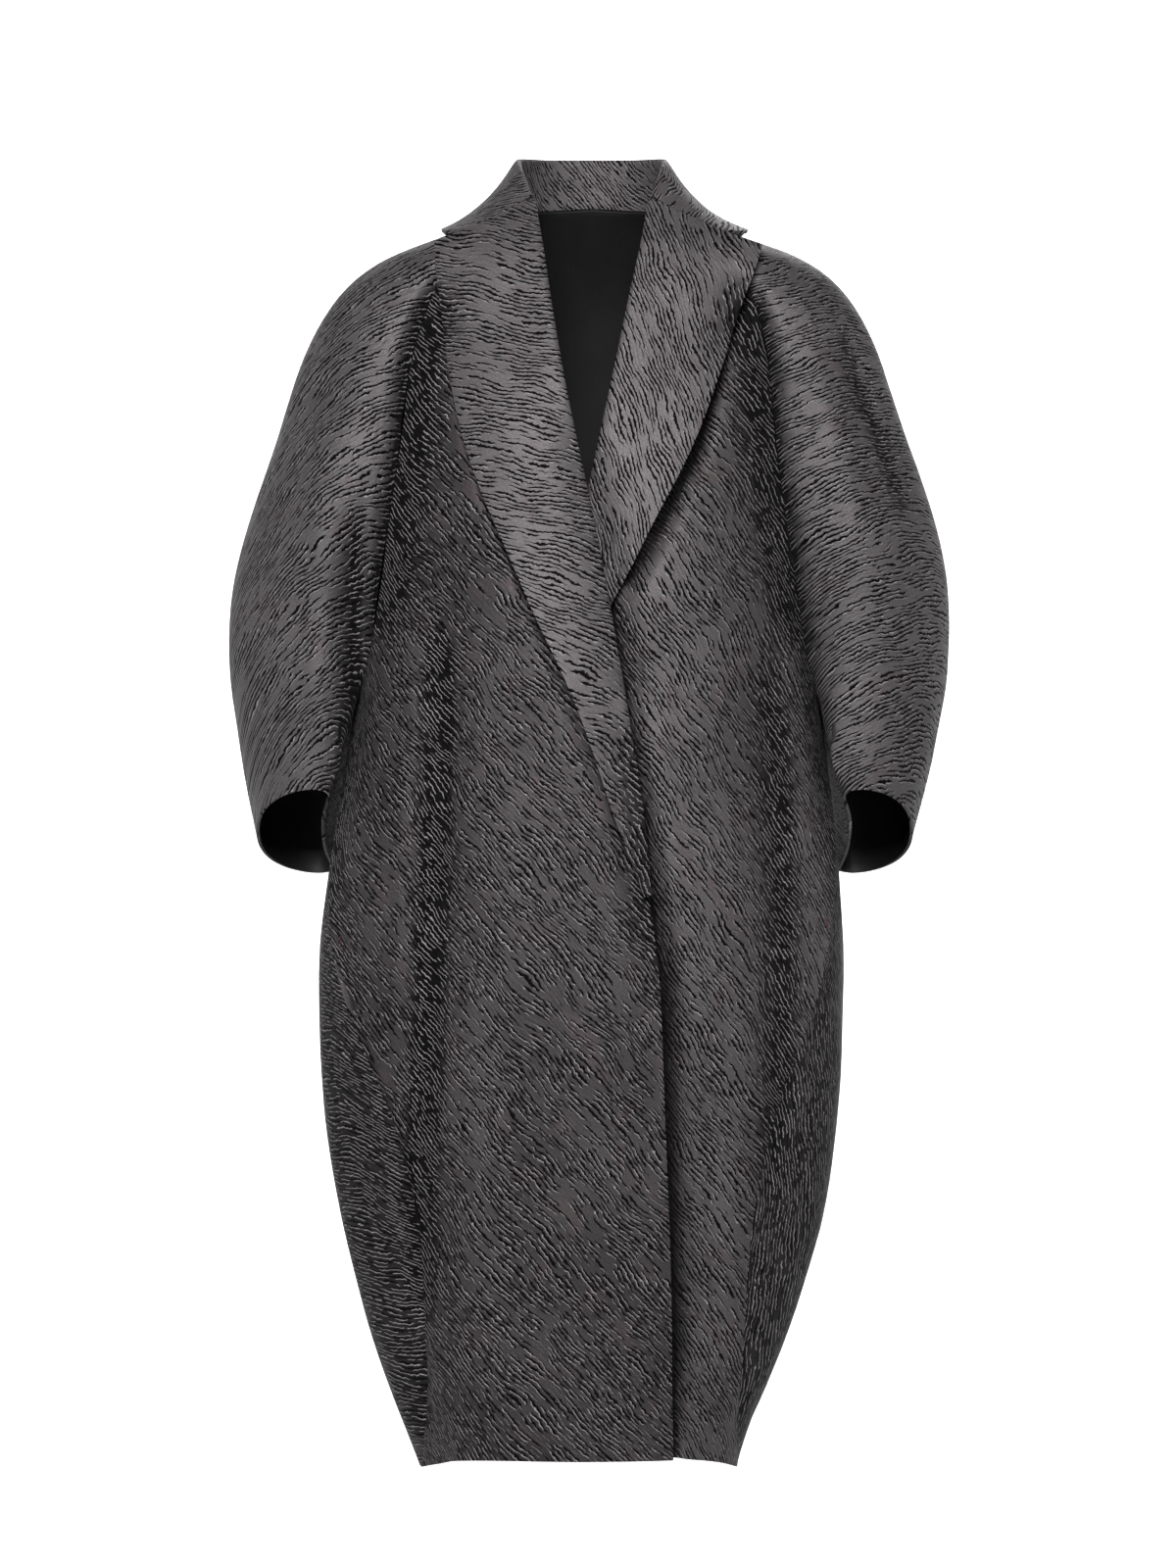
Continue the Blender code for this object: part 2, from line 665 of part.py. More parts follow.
def clear_of(grid, skin, distance):
    """The grid's points, moved out until they and the faces between them lie distance off the skin."""
    tree, outs = skin
    moved = grid.copy()
    rows, columns = grid.shape[:2]
    spots = np.linspace(0, 1, FACE_SPOTS)
    for _ in range(CLEAR_ROUNDS):
        push = np.zeros_like(moved)
        for row in range(rows - 1):
            for column in range(columns - 1):
                corners = moved[row : row + 2, column : column + 2]
                for a in spots:
                    for b in spots:
                        weight = np.outer([1 - a, a], [1 - b, b])
                        point = Vector(np.sum(corners * weight[..., None], axis=(0, 1)))
                        place, _, face, _ = tree.find_nearest(point)
                        short = distance - (point - place).dot(outs[face])
                        if short <= 0:
                            continue
                        step = np.array(outs[face]) * short
                        near = push[row : row + 2, column : column + 2]
                        less = np.linalg.norm(near, axis=-1) < short * (weight > CORNER_SHARE)
                        near[less] = step
        moved = moved + push
    return moved


def front_surface(side, reach, level, out):
    """Points lifted off a front; reach is measured towards the front's own edge."""
    angle = body_angle(-side * reach, level)
    rise = lap_rise(reach, level) if side == RIGHT else 0.0
    base = body_point(angle, level, rise)
    step = 1e-3
    along = body_point(angle + step, level, rise) - body_point(angle - step, level, rise)
    up = body_point(angle, level + 0.5, rise) - body_point(angle, level - 0.5, rise)
    return base + unit(np.cross(along, up)) * np.asarray(out)[..., None]


def even_curve(table):
    """A table of levels and reaches as a curve by the share of its length."""
    levels = np.linspace(table[0].level, table[-1].level, CURVE_SAMPLES)
    reach = curve_through([p.level for p in table], [p.reach for p in table])(levels)
    line = np.stack([reach, levels, np.zeros_like(levels)], axis=1)
    steps = np.linalg.norm(np.diff(line, axis=0), axis=1)
    along = np.concatenate([[0], np.cumsum(steps)]) / steps.sum()
    return curve_through(along, line[:, :2])


def lapel_grid(side, skin):
    """Points of a lapel, from its lower end up: round the roll, then across to its outer edge."""
    edge = LAPEL_EDGE[side]
    roll_levels = np.linspace(edge[0].level, LAPEL_TOP_LEVEL, CURVE_SAMPLES)
    roll_table = [SeamPoint(level, front_edge_at(level)) for level in roll_levels]
    share = np.linspace(LAPEL_START, 1, LAPEL_ROWS + 1)
    roll = even_curve(roll_table)(share)
    outer = even_curve(edge)(share)
    lift = WALL + LAY_GAP
    q = np.linspace(0, 1, LAPEL_COLUMNS + 1)[1:]
    reach = roll[:, :1] * (1 - q) + outer[:, :1] * q
    level = roll[:, 1:] * (1 - q) + outer[:, 1:] * q
    turn = np.array(ROLL_TURN)
    reach = np.concatenate([roll[:, :1] + turn[:, 0], reach], axis=1)
    level = np.concatenate([roll[:, 1:]] * len(turn) + [level], axis=1)
    puff = ROLL_PUFF * np.exp(-((q / ROLL_PUFF_WIDTH) ** 2))
    puff = puff * smooth_step(0, PUFF_FADE, roll[:, 1:] - PUFF_FROM[side])
    flat = lift + puff + LAPEL_EDGE_LIFT * q**3
    rolled = np.broadcast_to(turn[:, 1], (len(roll), len(turn)))
    grid = front_surface(side, reach, level, np.concatenate([rolled, flat], axis=1))
    grid[:, len(turn) :] = clear_of(grid[:, len(turn) :], skin, lift)
    normals = grid_normals(grid, from_middle(grid))
    return grid, normals


def point_along(points, share):
    """The point at a share of the length of a line of points."""
    steps = np.linalg.norm(np.diff(points, axis=0), axis=1)
    places = np.concatenate([[0], np.cumsum(steps)]) / steps.sum()
    return np.array([np.interp(share, places, points[:, k]) for k in range(3)])


def collar_grid(lapel_tops, skin):
    """Points of the collar: up the stand on its neck side, over the fold and down the fall."""
    way = np.linspace(-1, 1, COLLAR_COLUMNS + 1)
    front = math.radians(COLLAR_FRONT_ANGLE)
    angle = math.pi + way * (math.pi - front)
    around = 180 - np.abs(np.degrees(angle) - 180)
    neck = body_point(angle, neckline_at(around))
    neck[:, 2] += NECK_CLEAR
    rows = collar_at(np.abs(way))
    flip = np.stack([-np.sign(way), np.ones_like(way), np.ones_like(way)], axis=1)
    fold = rows[:, 0:3] * flip
    edge = rows[:, 3:6] * flip
    fold[:, 0] += COLLAR_SHIFT
    edge[:, 0] += COLLAR_SHIFT
    outward = unit(fold * np.array([1, 1, 0]))
    down = np.array([0, 0, -1])
    grid = [
        neck,
        neck * (1 - STAND_SHARE) + fold * STAND_SHARE + down * STAND_SAG,
        fold + down * STAND_TOP,
        fold + outward * FOLD_SHOULDER_OUT + down * FOLD_SHOULDER_DOWN,
        fold + outward * (FOLD_TURN / 2),
    ]
    stand_rows = len(grid)
    start = fold + outward * FOLD_TURN + down * FOLD_DOWN
    bend = start + (edge - start) * LEAF_BEND_ALONG
    bend[:, 2] = edge[:, 2] + (start[:, 2] - edge[:, 2]) * LEAF_BEND_UP
    near = smooth_step(GORGE_FROM, 1, np.abs(way))[:, None]
    ends = {RIGHT: len(way) - 1, LEFT: 0}
    for t in np.linspace(0, 1, LEAF_ROWS + 1):
        leaf = start * (1 - t) ** 2 + 2 * bend * t * (1 - t) + edge * t * t
        for side, end in ends.items():
            seam = point_along(lapel_tops[side], min(t, GORGE_SHARE))
            seam = seam + np.array([0, GORGE_GAP / 2, GORGE_GAP])
            past = max(t - GORGE_SHARE, 0) / (1 - GORGE_SHARE)
            target = seam * (1 - past) + edge[end] * past
            beside = near * (np.sign(way) == np.sign(way[end]))[:, None]
            leaf = leaf + beside * (target - leaf[end])
        grid.append(leaf)
    grid = np.array(grid)
    grid[stand_rows:] = clear_of(grid[stand_rows:], skin, WALL + LAY_GAP)
    faces = np.zeros_like(grid)
    faces[stand_rows:] = outward - down * LEAF_FACES_UP
    return grid, grid_normals(grid, faces)


def pocket_grid(front, normals):
    """Points of the pocket piece, which lies on the inner side of the front beside its seam."""
    rows = slice(POCKET_ROWS[0], POCKET_ROWS[1] + 1)
    columns = slice(-POCKET_COLUMNS - 1, None)
    return front[rows, columns] - normals[rows, columns] * (WALL + POCKET_GAP), normals[rows, columns].copy()


def mouth_lift(level):
    """The pocket's front edge stands out a little along its opening."""
    share = np.clip((level - POCKET_BOTTOM) / (POCKET_TOP - POCKET_BOTTOM), 0, 1)
    return MOUTH_LIFT * np.sin(math.pi * share) ** 2


def build_coat():
    collection = bpy.data.collections.new("cape_coat")
    bpy.context.scene.collection.children.link(collection)
    coat = cloth_material(COAT_CLOTH)
    lapel = cloth_material(LAPEL_CLOTH)
    lining = cloth_material(POCKET_LINING)

    fronts = {side: front_grid(side) for side in (RIGHT, LEFT)}
    back = back_grid()
    back_edge = {RIGHT: 0, LEFT: -1}
    front_normals = {side: grid_normals(grid, from_middle(grid)) for side, grid in fronts.items()}
    back_normals = grid_normals(back, from_middle(back))
    sleeves = {}
    sleeve_normals = {}
    arm = slice(SIDE_ROWS, None)
    under = slice(0, SIDE_ROWS + 1)
    for side in (RIGHT, LEFT):
        column = back_edge[side]
        grid = sleeve_grid(side, fronts[side][arm, -1][::-1], back[arm, column][::-1])
        outward = grid - grid.mean(axis=1, keepdims=True)
        normals = grid_normals(grid, outward, ARM_ROWS)
        grid = sleeve_folds(side, grid, normals)
        normals = grid_normals(grid, outward, ARM_ROWS)
        body_side = (front_normals[side][arm, -1][::-1].copy(), back_normals[arm, column][::-1].copy())
        shared = share_normals(front_normals[side][under, -1], back_normals[under, column])
        front_normals[side][under, -1] = shared[0]
        back_normals[under, column] = shared[1]
        open_rows = slice(0, ARM_ROWS)
        ahead = share_normals(body_side[0][open_rows], normals[open_rows, 0])
        behind = share_normals(body_side[1][open_rows], normals[open_rows, -1])
        front_normals[side][arm, -1][1:] = ahead[0][::-1]
        normals[open_rows, 0] = ahead[1]
        back_normals[arm, column][1:] = behind[0][::-1]
        normals[open_rows, -1] = behind[1]
        pull_in(grid[open_rows], 0, 1, SEAM_GAP / 2)
        pull_in(grid[open_rows], -1, -2, SEAM_GAP / 2)
        grid[: ARM_ROWS + 1, 0] += body_side[0] * SEAM_GAP
        grid[:ARM_ROWS, -1] += body_side[1][:ARM_ROWS] * SEAM_GAP
        grid[ARM_ROWS, -1] = grid[ARM_ROWS, 0]
        sleeves[side] = grid
        sleeve_normals[side] = normals
    pockets = {}
    for side in (RIGHT, LEFT):
        pull_in(fronts[side], -1, -2, SEAM_GAP / 2)
        pockets[side] = pocket_grid(fronts[side], front_normals[side])
        lift = mouth_lift(fronts[side][:, -1, 2])[:, None]
        fronts[side][:, -1] += front_normals[side][:, -1] * lift
    pull_in(back, 0, 1, SEAM_GAP / 2)
    pull_in(back, -1, -2, SEAM_GAP / 2)

    panels = [(back, back_normals)]
    for side in (RIGHT, LEFT):
        panels += [(fronts[side], front_normals[side]), (sleeves[side], sleeve_normals[side])]
    skin = skin_of(panels)
    lapels = {}
    lapel_tops = {}
    for side in (RIGHT, LEFT):
        own = skin_of([(fronts[side], front_normals[side]), (sleeves[side], sleeve_normals[side])])
        lapels[side] = lapel_grid(side, own)
        lapel_tops[side] = lapels[side][0][-1, 2:]

    names = {RIGHT: "right", LEFT: "left"}
    cloth_piece("back", back, back_normals, WALL, coat, collection)
    for side in (RIGHT, LEFT):
        name = names[side]
        cloth_piece(f"front_{name}", fronts[side], front_normals[side], WALL, coat, collection)
        cloth_piece(f"sleeve_{name}", sleeves[side], sleeve_normals[side], WALL, coat, collection)
        cloth_piece(f"lapel_{name}", *lapels[side], WALL, lapel, collection)
        cloth_piece(f"pocket_{name}", *pockets[side], POCKET_WALL, lining, collection)
    grid, normals = collar_grid(lapel_tops, skin)
    cloth_piece("collar", grid, normals, WALL, lapel, collection)


def main():
    for thing in list(bpy.data.objects):
        bpy.data.objects.remove(thing, do_unlink=True)
    build_coat()


main()
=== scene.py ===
import math

import bmesh
import bpy
import numpy as np
from mathutils import Matrix, Vector, noise
from mathutils.bvhtree import BVHTree


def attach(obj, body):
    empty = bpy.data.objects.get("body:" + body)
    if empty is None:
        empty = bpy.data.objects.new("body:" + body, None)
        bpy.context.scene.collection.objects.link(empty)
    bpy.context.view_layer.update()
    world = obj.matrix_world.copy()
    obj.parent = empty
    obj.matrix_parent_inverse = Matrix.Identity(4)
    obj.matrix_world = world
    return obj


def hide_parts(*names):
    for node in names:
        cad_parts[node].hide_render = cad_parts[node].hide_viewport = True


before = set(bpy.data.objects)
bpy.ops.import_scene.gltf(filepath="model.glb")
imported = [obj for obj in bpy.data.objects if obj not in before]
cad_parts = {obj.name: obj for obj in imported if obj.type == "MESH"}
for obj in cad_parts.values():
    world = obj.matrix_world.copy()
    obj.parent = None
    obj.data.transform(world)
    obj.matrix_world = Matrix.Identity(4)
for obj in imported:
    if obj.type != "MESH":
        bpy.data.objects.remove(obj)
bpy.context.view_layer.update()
print("frame loaded:", sorted(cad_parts))


# camera, level with the middle of the coat, far enough back for a long lens
view = {"middle": (0.0, 0.0, -0.468), "distance": 4.5, "frameHeight": 1.28, "sensor": 36.0, "clip": 40}
bpy.ops.object.camera_add(
    location=(view["middle"][0], -view["distance"], view["middle"][2]), rotation=(math.radians(90), 0, 0)
)
camera = bpy.context.object
camera.data.sensor_width = view["sensor"]
camera.data.lens = view["sensor"] * view["distance"] / view["frameHeight"]
camera.data.clip_end = view["clip"]
bpy.context.scene.camera = camera
print("camera placed")


# small helpers

def smoothStep(low, high, value):
    t = np.clip((np.asarray(value, float) - low) / (high - low), 0, 1)
    return t * t * (3 - 2 * t)


def activate(piece):
    bpy.ops.object.select_all(action="DESELECT")
    piece.select_set(True)
    bpy.context.view_layer.objects.active = piece


def applyAll(piece):
    activate(piece)
    for modifier in list(piece.modifiers):
        bpy.ops.object.modifier_apply(modifier=modifier.name)


def readPoints(mesh):
    points = np.empty(len(mesh.vertices) * 3)
    mesh.vertices.foreach_get("co", points)
    return points.reshape(-1, 3)


def writePoints(mesh, points):
    mesh.vertices.foreach_set("co", np.ascontiguousarray(points, dtype=np.float32).ravel())
    mesh.update()


# shader wires: maths written as expressions, any other node through make

class Wire:
    def __init__(self, tree, socket):
        self.tree = tree
        self.socket = socket

    def make(self, kind, settings, inputs, output=0):
        node = self.tree.nodes.new(kind)
        for name, value in settings.items():
            setattr(node, name, value)
        for name, value in inputs.items():
            if isinstance(value, Wire):
                self.tree.links.new(value.socket, node.inputs[name])
            else:
                node.inputs[name].default_value = value
        return Wire(self.tree, node.outputs[output])

    def maths(self, operation, first, second):
        return self.make("ShaderNodeMath", {"operation": operation}, {0: first, 1: second})

    def __add__(self, other):
        return self.maths("ADD", self, other)

    __radd__ = __add__

    def __sub__(self, other):
        return self.maths("SUBTRACT", self, other)

    def __rsub__(self, other):
        return self.maths("SUBTRACT", other, self)

    def __mul__(self, other):
        return self.maths("MULTIPLY", self, other)

    __rmul__ = __mul__

    def __abs__(self):
        return self.maths("ABSOLUTE", self, 0.0)

    def between(self, low, high):
        return self.make(
            "ShaderNodeMapRange",
            {"interpolation_type": "SMOOTHSTEP", "clamp": True},
            {"Value": self, "From Min": low, "From Max": high, "To Min": 0.0, "To Max": 1.0},
        )

    def vector(self, operation, other):
        return self.make("ShaderNodeVectorMath", {"operation": operation}, {0: self, 1: other})

    def noise(self, scale, detail=0.0, roughness=0.5, output=0):
        return self.make(
            "ShaderNodeTexNoise",
            {"noise_dimensions": "2D"},
            {"Vector": self, "Scale": scale, "Detail": detail, "Roughness": roughness},
            output,
        )

    def blend(self, first, second):
        return self.make(
            "ShaderNodeMix", {"data_type": "RGBA"}, {0: self, 6: first, 7: second}, output=2
        )


def newMaterial(name):
    material = bpy.data.materials.new(name)
    material.use_nodes = True
    tree = material.node_tree
    shader = tree.nodes["Principled BSDF"]
    return material, tree, shader


# blistered cloth: a grey satin ground, drawn in along wavy black dashes, with pale threads beside them
# painted on as glints
blisterCloth = {
    # the slow sway of the whole weave, and the lines with their wander and ragged edges
    "waveSize": 13.0, "waveReach": 0.016, "lines": 245.0,
    "wander": (22.0, 36.0, 1.0), "wanderReach": 2.2, "jag": (250.0, 230.0, 1.0), "jagReach": 0.62,
    # black dashes, sparser in bare patches
    "dashSize": 40.0, "dashShift": 7.31, "dashFrom": (0.31, 0.53), "dashWidth": 0.28, "dashEdge": 0.11,
    "bareSize": (24.0, 52.0, 1.0), "bareReach": 0.20, "dashColour": (0.004, 0.0036, 0.004, 1.0),
    # painted glints: pale threads beside the dashes, more of them in the painted shade
    "paleSide": -0.26, "paleSize": 105.0, "paleShift": 3.77, "paleStart": 0.5, "paleFrom": (0.38, 0.54),
    "paleWidth": 0.15, "paleEdge": 0.05, "glintsInShade": 0.08, "paleOpen": 0.8,
    "glintColour": (0.32, 0.305, 0.31, 1.0),
    # the ground's patches, warm threads and grain, and the painted shade in folds and hollows
    "patchSize": 9.0, "patchFrom": (0.3, 0.7), "warmSize": 24.0, "warmFrom": (0.62, 0.74),
    "warmShare": 0.35,
    "warmColour": (0.150, 0.108, 0.116, 1.0), "fibre": (900.0, 520.0, 1.0), "grainFrom": (0.35, 0.65),
    "grainDepth": 0.45, "grainShare": 0.4,
    "paintedShadeColour": (0.004, 0.0037, 0.0039, 1.0), "paintedShadeShare": 0.96,
    # finish and relief
    "satin": 0.45, "specular": 0.1, "sheen": 0.02, "sheenRoughness": 0.4,
    "rough": {"ground": 0.58, "dash": 0.14, "pale": 0.12, "fibre": 0.06, "paintedShade": 0.3},
    "relief": {"pale": 0.6, "line": 0.7, "fibre": 0.1}, "bumpReach": 0.0010, "bumpStrength": 0.5,
}


def clothMaterial(name, ground, shade, fineness, look=blisterCloth):
    material, tree, shader = newMaterial(name)
    metres = Wire(tree, None).make("ShaderNodeUVMap", {"uv_map": "weave"}, {})
    flat = metres.vector("MULTIPLY", (fineness,) * 3)
    wave = flat.noise(look["waveSize"], 1.0, output=1).vector("SUBTRACT", (0.5, 0.5, 0.5))
    laid = flat.vector("ADD", wave.vector("MULTIPLY", (look["waveReach"],) * 3))
    along = laid.make("ShaderNodeSeparateXYZ", {}, {"Vector": laid}, 0)
    across = laid.make("ShaderNodeSeparateXYZ", {}, {"Vector": laid}, 1)
    wander = laid.vector("MULTIPLY", look["wander"]).noise(1.0, 2.0) - 0.5
    jag = laid.vector("MULTIPLY", look["jag"]).noise(1.0, 1.0) - 0.5
    count = across * look["lines"] + wander * look["wanderReach"] + jag * look["jagReach"]
    line = count.maths("FLOOR", count, 0.0)
    place = count.maths("FRACT", count, 0.0) - 0.5
    # each line is broken into its own run of dashes
    bare = (laid.vector("MULTIPLY", look["bareSize"]).noise(1.0) - 0.5) * look["bareReach"]
    run = line.make(
        "ShaderNodeCombineXYZ", {}, {0: along * look["dashSize"], 1: line * look["dashShift"]}
    )
    dash = (run.noise(1.0, 1.0) + bare).between(*look["dashFrom"])
    dark = (dash * look["dashWidth"] - abs(place)).between(0.0, look["dashEdge"])
    # pale threads painted on as glints beside the dashes, none in the painted black shadow beside an edge;
    # that shadow and the painted shade are read from the panel
    paintedShade = flat.make("ShaderNodeAttribute", {"attribute_name": "paintedShade"}, {}, output=2)
    paintedEdgeShadow = flat.make("ShaderNodeAttribute", {"attribute_name": "paintedEdgeShadow"}, {}, output=2)
    spots = line.make(
        "ShaderNodeCombineXYZ",
        {},
        {0: along * look["paleSize"], 1: line * look["paleShift"] + look["paleStart"]},
    )
    spot = (spots.noise(1.0) + look["glintsInShade"] * paintedShade).between(*look["paleFrom"])
    spot = spot * (dash + look["paleOpen"] * paintedShade * (1 - dash))
    pale = (spot * look["paleWidth"] - abs(place - look["paleSide"])).between(0.0, look["paleEdge"])
    pale = pale * (1 - dark) * (1 - paintedEdgeShadow)
    patches = flat.noise(look["patchSize"], 2.0).between(*look["patchFrom"])
    fibre = metres.vector("MULTIPLY", look["fibre"]).noise(1.0, 1.0)
    warm = flat.noise(look["warmSize"], 1.0).between(*look["warmFrom"]) * look["warmShare"]
    plain = warm.blend(patches.blend(shade, ground), look["warmColour"])
    deep = tuple(c * look["grainDepth"] for c in shade[:3]) + (1.0,)
    plain = (fibre.between(*look["grainFrom"]) * look["grainShare"]).blend(plain, deep)
    # the ground is painted near black where the panel marks shade
    plain = (paintedShade * look["paintedShadeShare"]).blend(plain, look["paintedShadeColour"])
    colour = dark.blend(plain, look["dashColour"])
    # the pale threads are painted on as glints over the dashes and the ground
    colour = pale.blend(colour, look["glintColour"])
    tree.links.new(colour.socket, shader.inputs["Base Color"])
    rough = look["rough"]
    roughness = rough["ground"] + rough["dash"] * dark - rough["pale"] * pale
    roughness = roughness + rough["fibre"] * fibre + rough["paintedShade"] * paintedShade
    tree.links.new(roughness.socket, shader.inputs["Roughness"])
    tree.links.new((look["satin"] * (1 - pale) * (1 - paintedShade)).socket, shader.inputs["Metallic"])
    shader.inputs["Specular IOR Level"].default_value = look["specular"]
    shader.inputs["Sheen Weight"].default_value = look["sheen"]
    shader.inputs["Sheen Roughness"].default_value = look["sheenRoughness"]
    relief = look["relief"]
    height = 1 - dark + relief["pale"] * pale + relief["line"] * abs(place) + relief["fibre"] * fibre
    bump = height.make(
        "ShaderNodeBump",
        {},
        {"Strength": look["bumpStrength"], "Distance": look["bumpReach"], "Height": height},
    )
    tree.links.new(bump.socket, shader.inputs["Normal"])
    return material


# smooth black lining with a fine twill
liningCloth = {
    "twillSize": 260.0, "twillSway": 0.6, "softSize": 30.0, "softLift": 1.9,
    "roughness": 0.48, "twillRoughness": 0.12, "bumpStrength": 0.25, "bumpReach": 0.0002,
}


def liningMaterial(name, colour, look=liningCloth):
    material, tree, shader = newMaterial(name)
    flat = Wire(tree, None).make("ShaderNodeUVMap", {"uv_map": "weave"}, {})
    twill = flat.make(
        "ShaderNodeTexWave",
        {"wave_type": "BANDS", "bands_direction": "DIAGONAL"},
        {"Vector": flat, "Scale": look["twillSize"], "Distortion": look["twillSway"]},
        output=1,
    )
    lifted = tuple(c * look["softLift"] for c in colour[:3]) + (1.0,)
    soft = flat.noise(look["softSize"], 2.0).blend(colour, lifted)
    tree.links.new(soft.socket, shader.inputs["Base Color"])
    roughness = look["roughness"] + look["twillRoughness"] * twill
    tree.links.new(roughness.socket, shader.inputs["Roughness"])
    bump = twill.make(
        "ShaderNodeBump",
        {},
        {"Strength": look["bumpStrength"], "Distance": look["bumpReach"], "Height": twill},
    )
    tree.links.new(bump.socket, shader.inputs["Normal"])
    return material


# one cloth in lit and shaded copies: each panel's ground is painted lighter or darker for how light falls
# on it, lightest on the lapels and darkest on the right front
litSleeveCloth = clothMaterial(
    "litSleeveCloth", ground=(0.166, 0.155, 0.158, 1.0), shade=(0.136, 0.127, 0.130, 1.0), fineness=1.3
)
shadedFrontCloth = clothMaterial(
    "shadedFrontCloth", ground=(0.108, 0.100, 0.103, 1.0), shade=(0.074, 0.068, 0.070, 1.0), fineness=1.2
)
litLeftFrontCloth = clothMaterial(
    "litLeftFrontCloth", ground=(0.162, 0.150, 0.155, 1.0), shade=(0.124, 0.115, 0.118, 1.0), fineness=1.2
)
litLapelCloth = clothMaterial(
    "litLapelCloth", ground=(0.196, 0.182, 0.188, 1.0), shade=(0.166, 0.154, 0.159, 1.0), fineness=1.2
)
shadedBackCloth = clothMaterial(
    "shadedBackCloth", ground=(0.130, 0.121, 0.125, 1.0), shade=(0.098, 0.091, 0.094, 1.0), fineness=1.25
)
bodyLining = liningMaterial("bodyLining", (0.006, 0.006, 0.0065, 1.0))
pocketLining = liningMaterial("pocketLining", (0.008, 0.007, 0.0075, 1.0))
print("cloths mixed")


# where each panel lies flat, in metres: s runs to the right as seen from outside, t runs up

# how far the body of the coat stands out at each level, and the cloth's zero level
bodyForm = {
    "levels": (-1.03, -0.95, -0.80, -0.65, -0.40, -0.12, -0.03, 0.02),
    "reaches": (0.128, 0.150, 0.18, 0.195, 0.175, 0.14, 0.10, 0.07),
    "foot": 0.5,
}


def bodyReach(level):
    return np.interp(level, bodyForm["levels"], bodyForm["reaches"])


def frontFlat(points):
    turn = np.arctan2(points[:, 0], -points[:, 1])
    return turn * bodyReach(points[:, 2]), points[:, 2] + bodyForm["foot"]


def backFlat(points):
    turn = np.arctan2(-points[:, 0], points[:, 1])
    return turn * bodyReach(points[:, 2]), points[:, 2] + bodyForm["foot"]


# lines that climb across the sleeve and grow steeper by fan degrees over each 0.1 m outwards
sleeveWeave = {
    "reach": 0.4, "parts": 401, "middle": 0.24, "over": 0.1, "least": 18, "most": 66,
    "depthAlong": 0.7, "depthAcross": 0.4, "ridge": 0.015,
}


def sleeveFlat(side, middle, fan, look=sleeveWeave):
    def flat(points):
        reach = np.linspace(0.0, look["reach"], look["parts"])
        steep = middle + fan * (reach - look["middle"]) / look["over"]
        climb = np.tan(np.radians(np.clip(steep, look["least"], look["most"])))
        rise = np.concatenate([[0], np.cumsum((climb[1:] + climb[:-1]) / 2 * np.diff(reach))])
        out = points[:, 0] * side
        lift = np.interp(out, reach, rise)
        lean = math.radians(middle)
        along = points[:, 0] * math.cos(lean) + points[:, 2] * math.sin(lean)
        along = along + points[:, 1] * look["depthAlong"]
        across = (points[:, 2] - lift * side) * math.cos(lean)
        across = across - np.hypot(points[:, 1], look["ridge"]) * look["depthAcross"]
        return along, across
    return flat


# the middle of a sleeve, which bends over the shoulder round one point
sleeveForm = {"bend": (0.06, -0.26), "reach": 0.185, "depth": 0.004}


def sleevePlace(points, side):
    across = points[:, 0] * side - sleeveForm["bend"][0]
    up = points[:, 2] - sleeveForm["bend"][1]
    lean = np.where(up > 0, np.arctan2(np.maximum(up, 0), across), 0)
    return np.where(up > 0, np.hypot(across, up), across) - sleeveForm["reach"], lean


lapelForm = {"spread": 1.1, "foot": 0.25}
collarForm = {"middle": (0.003, 0.01), "round": 0.085, "fall": 0.8}


def lapelFlat(points):
    return points[:, 0] * lapelForm["spread"], points[:, 2] + lapelForm["foot"]


def collarFlat(points):
    across = points[:, 0] - collarForm["middle"][0]
    deep = points[:, 1] - collarForm["middle"][1]
    turn = np.arctan2(-across, deep)
    return turn * collarForm["round"], points[:, 2] - collarForm["fall"] * np.hypot(across, deep)


def outFromBody(points):
    out = points * np.array([1, 1, 0])
    return out / np.maximum(np.linalg.norm(out, axis=1, keepdims=True), 1e-6)


def outFromSleeve(side):
    def out(points):
        reach, lean = sleevePlace(points, side)
        depth = points[:, 1] - sleeveForm["depth"]
        away = np.stack([np.cos(lean) * reach * side, depth, np.sin(lean) * reach], axis=1)
        return away / np.maximum(np.linalg.norm(away, axis=1, keepdims=True), 1e-6)
    return out


# soft folds, placed as tracks on the front view's x and z and pressed straight in or out, so that
# neighbours and layers move together; widths are towards +x and -x
foldEase = {"ends": 0.25, "turn": (0.0, 0.02)}  # a fold's soft ends, and where it stops at the sides


def nearness(points, line):
    track = np.array(line["track"])
    ways = np.diff(track, axis=0)
    lengths = np.linalg.norm(ways, axis=1)
    flat = points[:, [0, 2]]
    away = np.full(len(points), 9.0)
    along = np.zeros(len(points))
    right = np.zeros(len(points), dtype=bool)
    for start, way, length, before in zip(track, ways, lengths, np.cumsum(lengths) - lengths):
        share = np.clip(((flat - start) @ way) / length ** 2, 0, 1)
        gap = flat - start - share[:, None] * way
        reach = np.linalg.norm(gap, axis=1)
        closer = reach < away
        away = np.where(closer, reach, away)
        along = np.where(closer, (before + share * length) / lengths.sum(), along)
        right = np.where(closer, gap[:, 0] > 0, right)
    wide = np.where(right, line["widths"][0], line["widths"][1])
    ends = line.get("ends", foldEase["ends"])
    return np.exp(-((away / wide) ** 2)) * smoothStep(0, ends, along) * smoothStep(0, ends, 1 - along)


def foldMove(points, line):
    facing = 1 if line.get("side") == "back" else -1
    turned = smoothStep(*foldEase["turn"], points[:, 1] * facing)
    return np.array([0, facing, 0]), line["depth"] * nearness(points, line) * turned


# the slight unevenness of all the cloth, the same for layers that lie on one another
softness = {"reach": 0.0010, "size": 0.07}


def unevenness(points, out):
    lift = np.array([noise.noise(Vector(point) / softness["size"]) for point in points])
    return out * (lift * softness["reach"])[:, None]


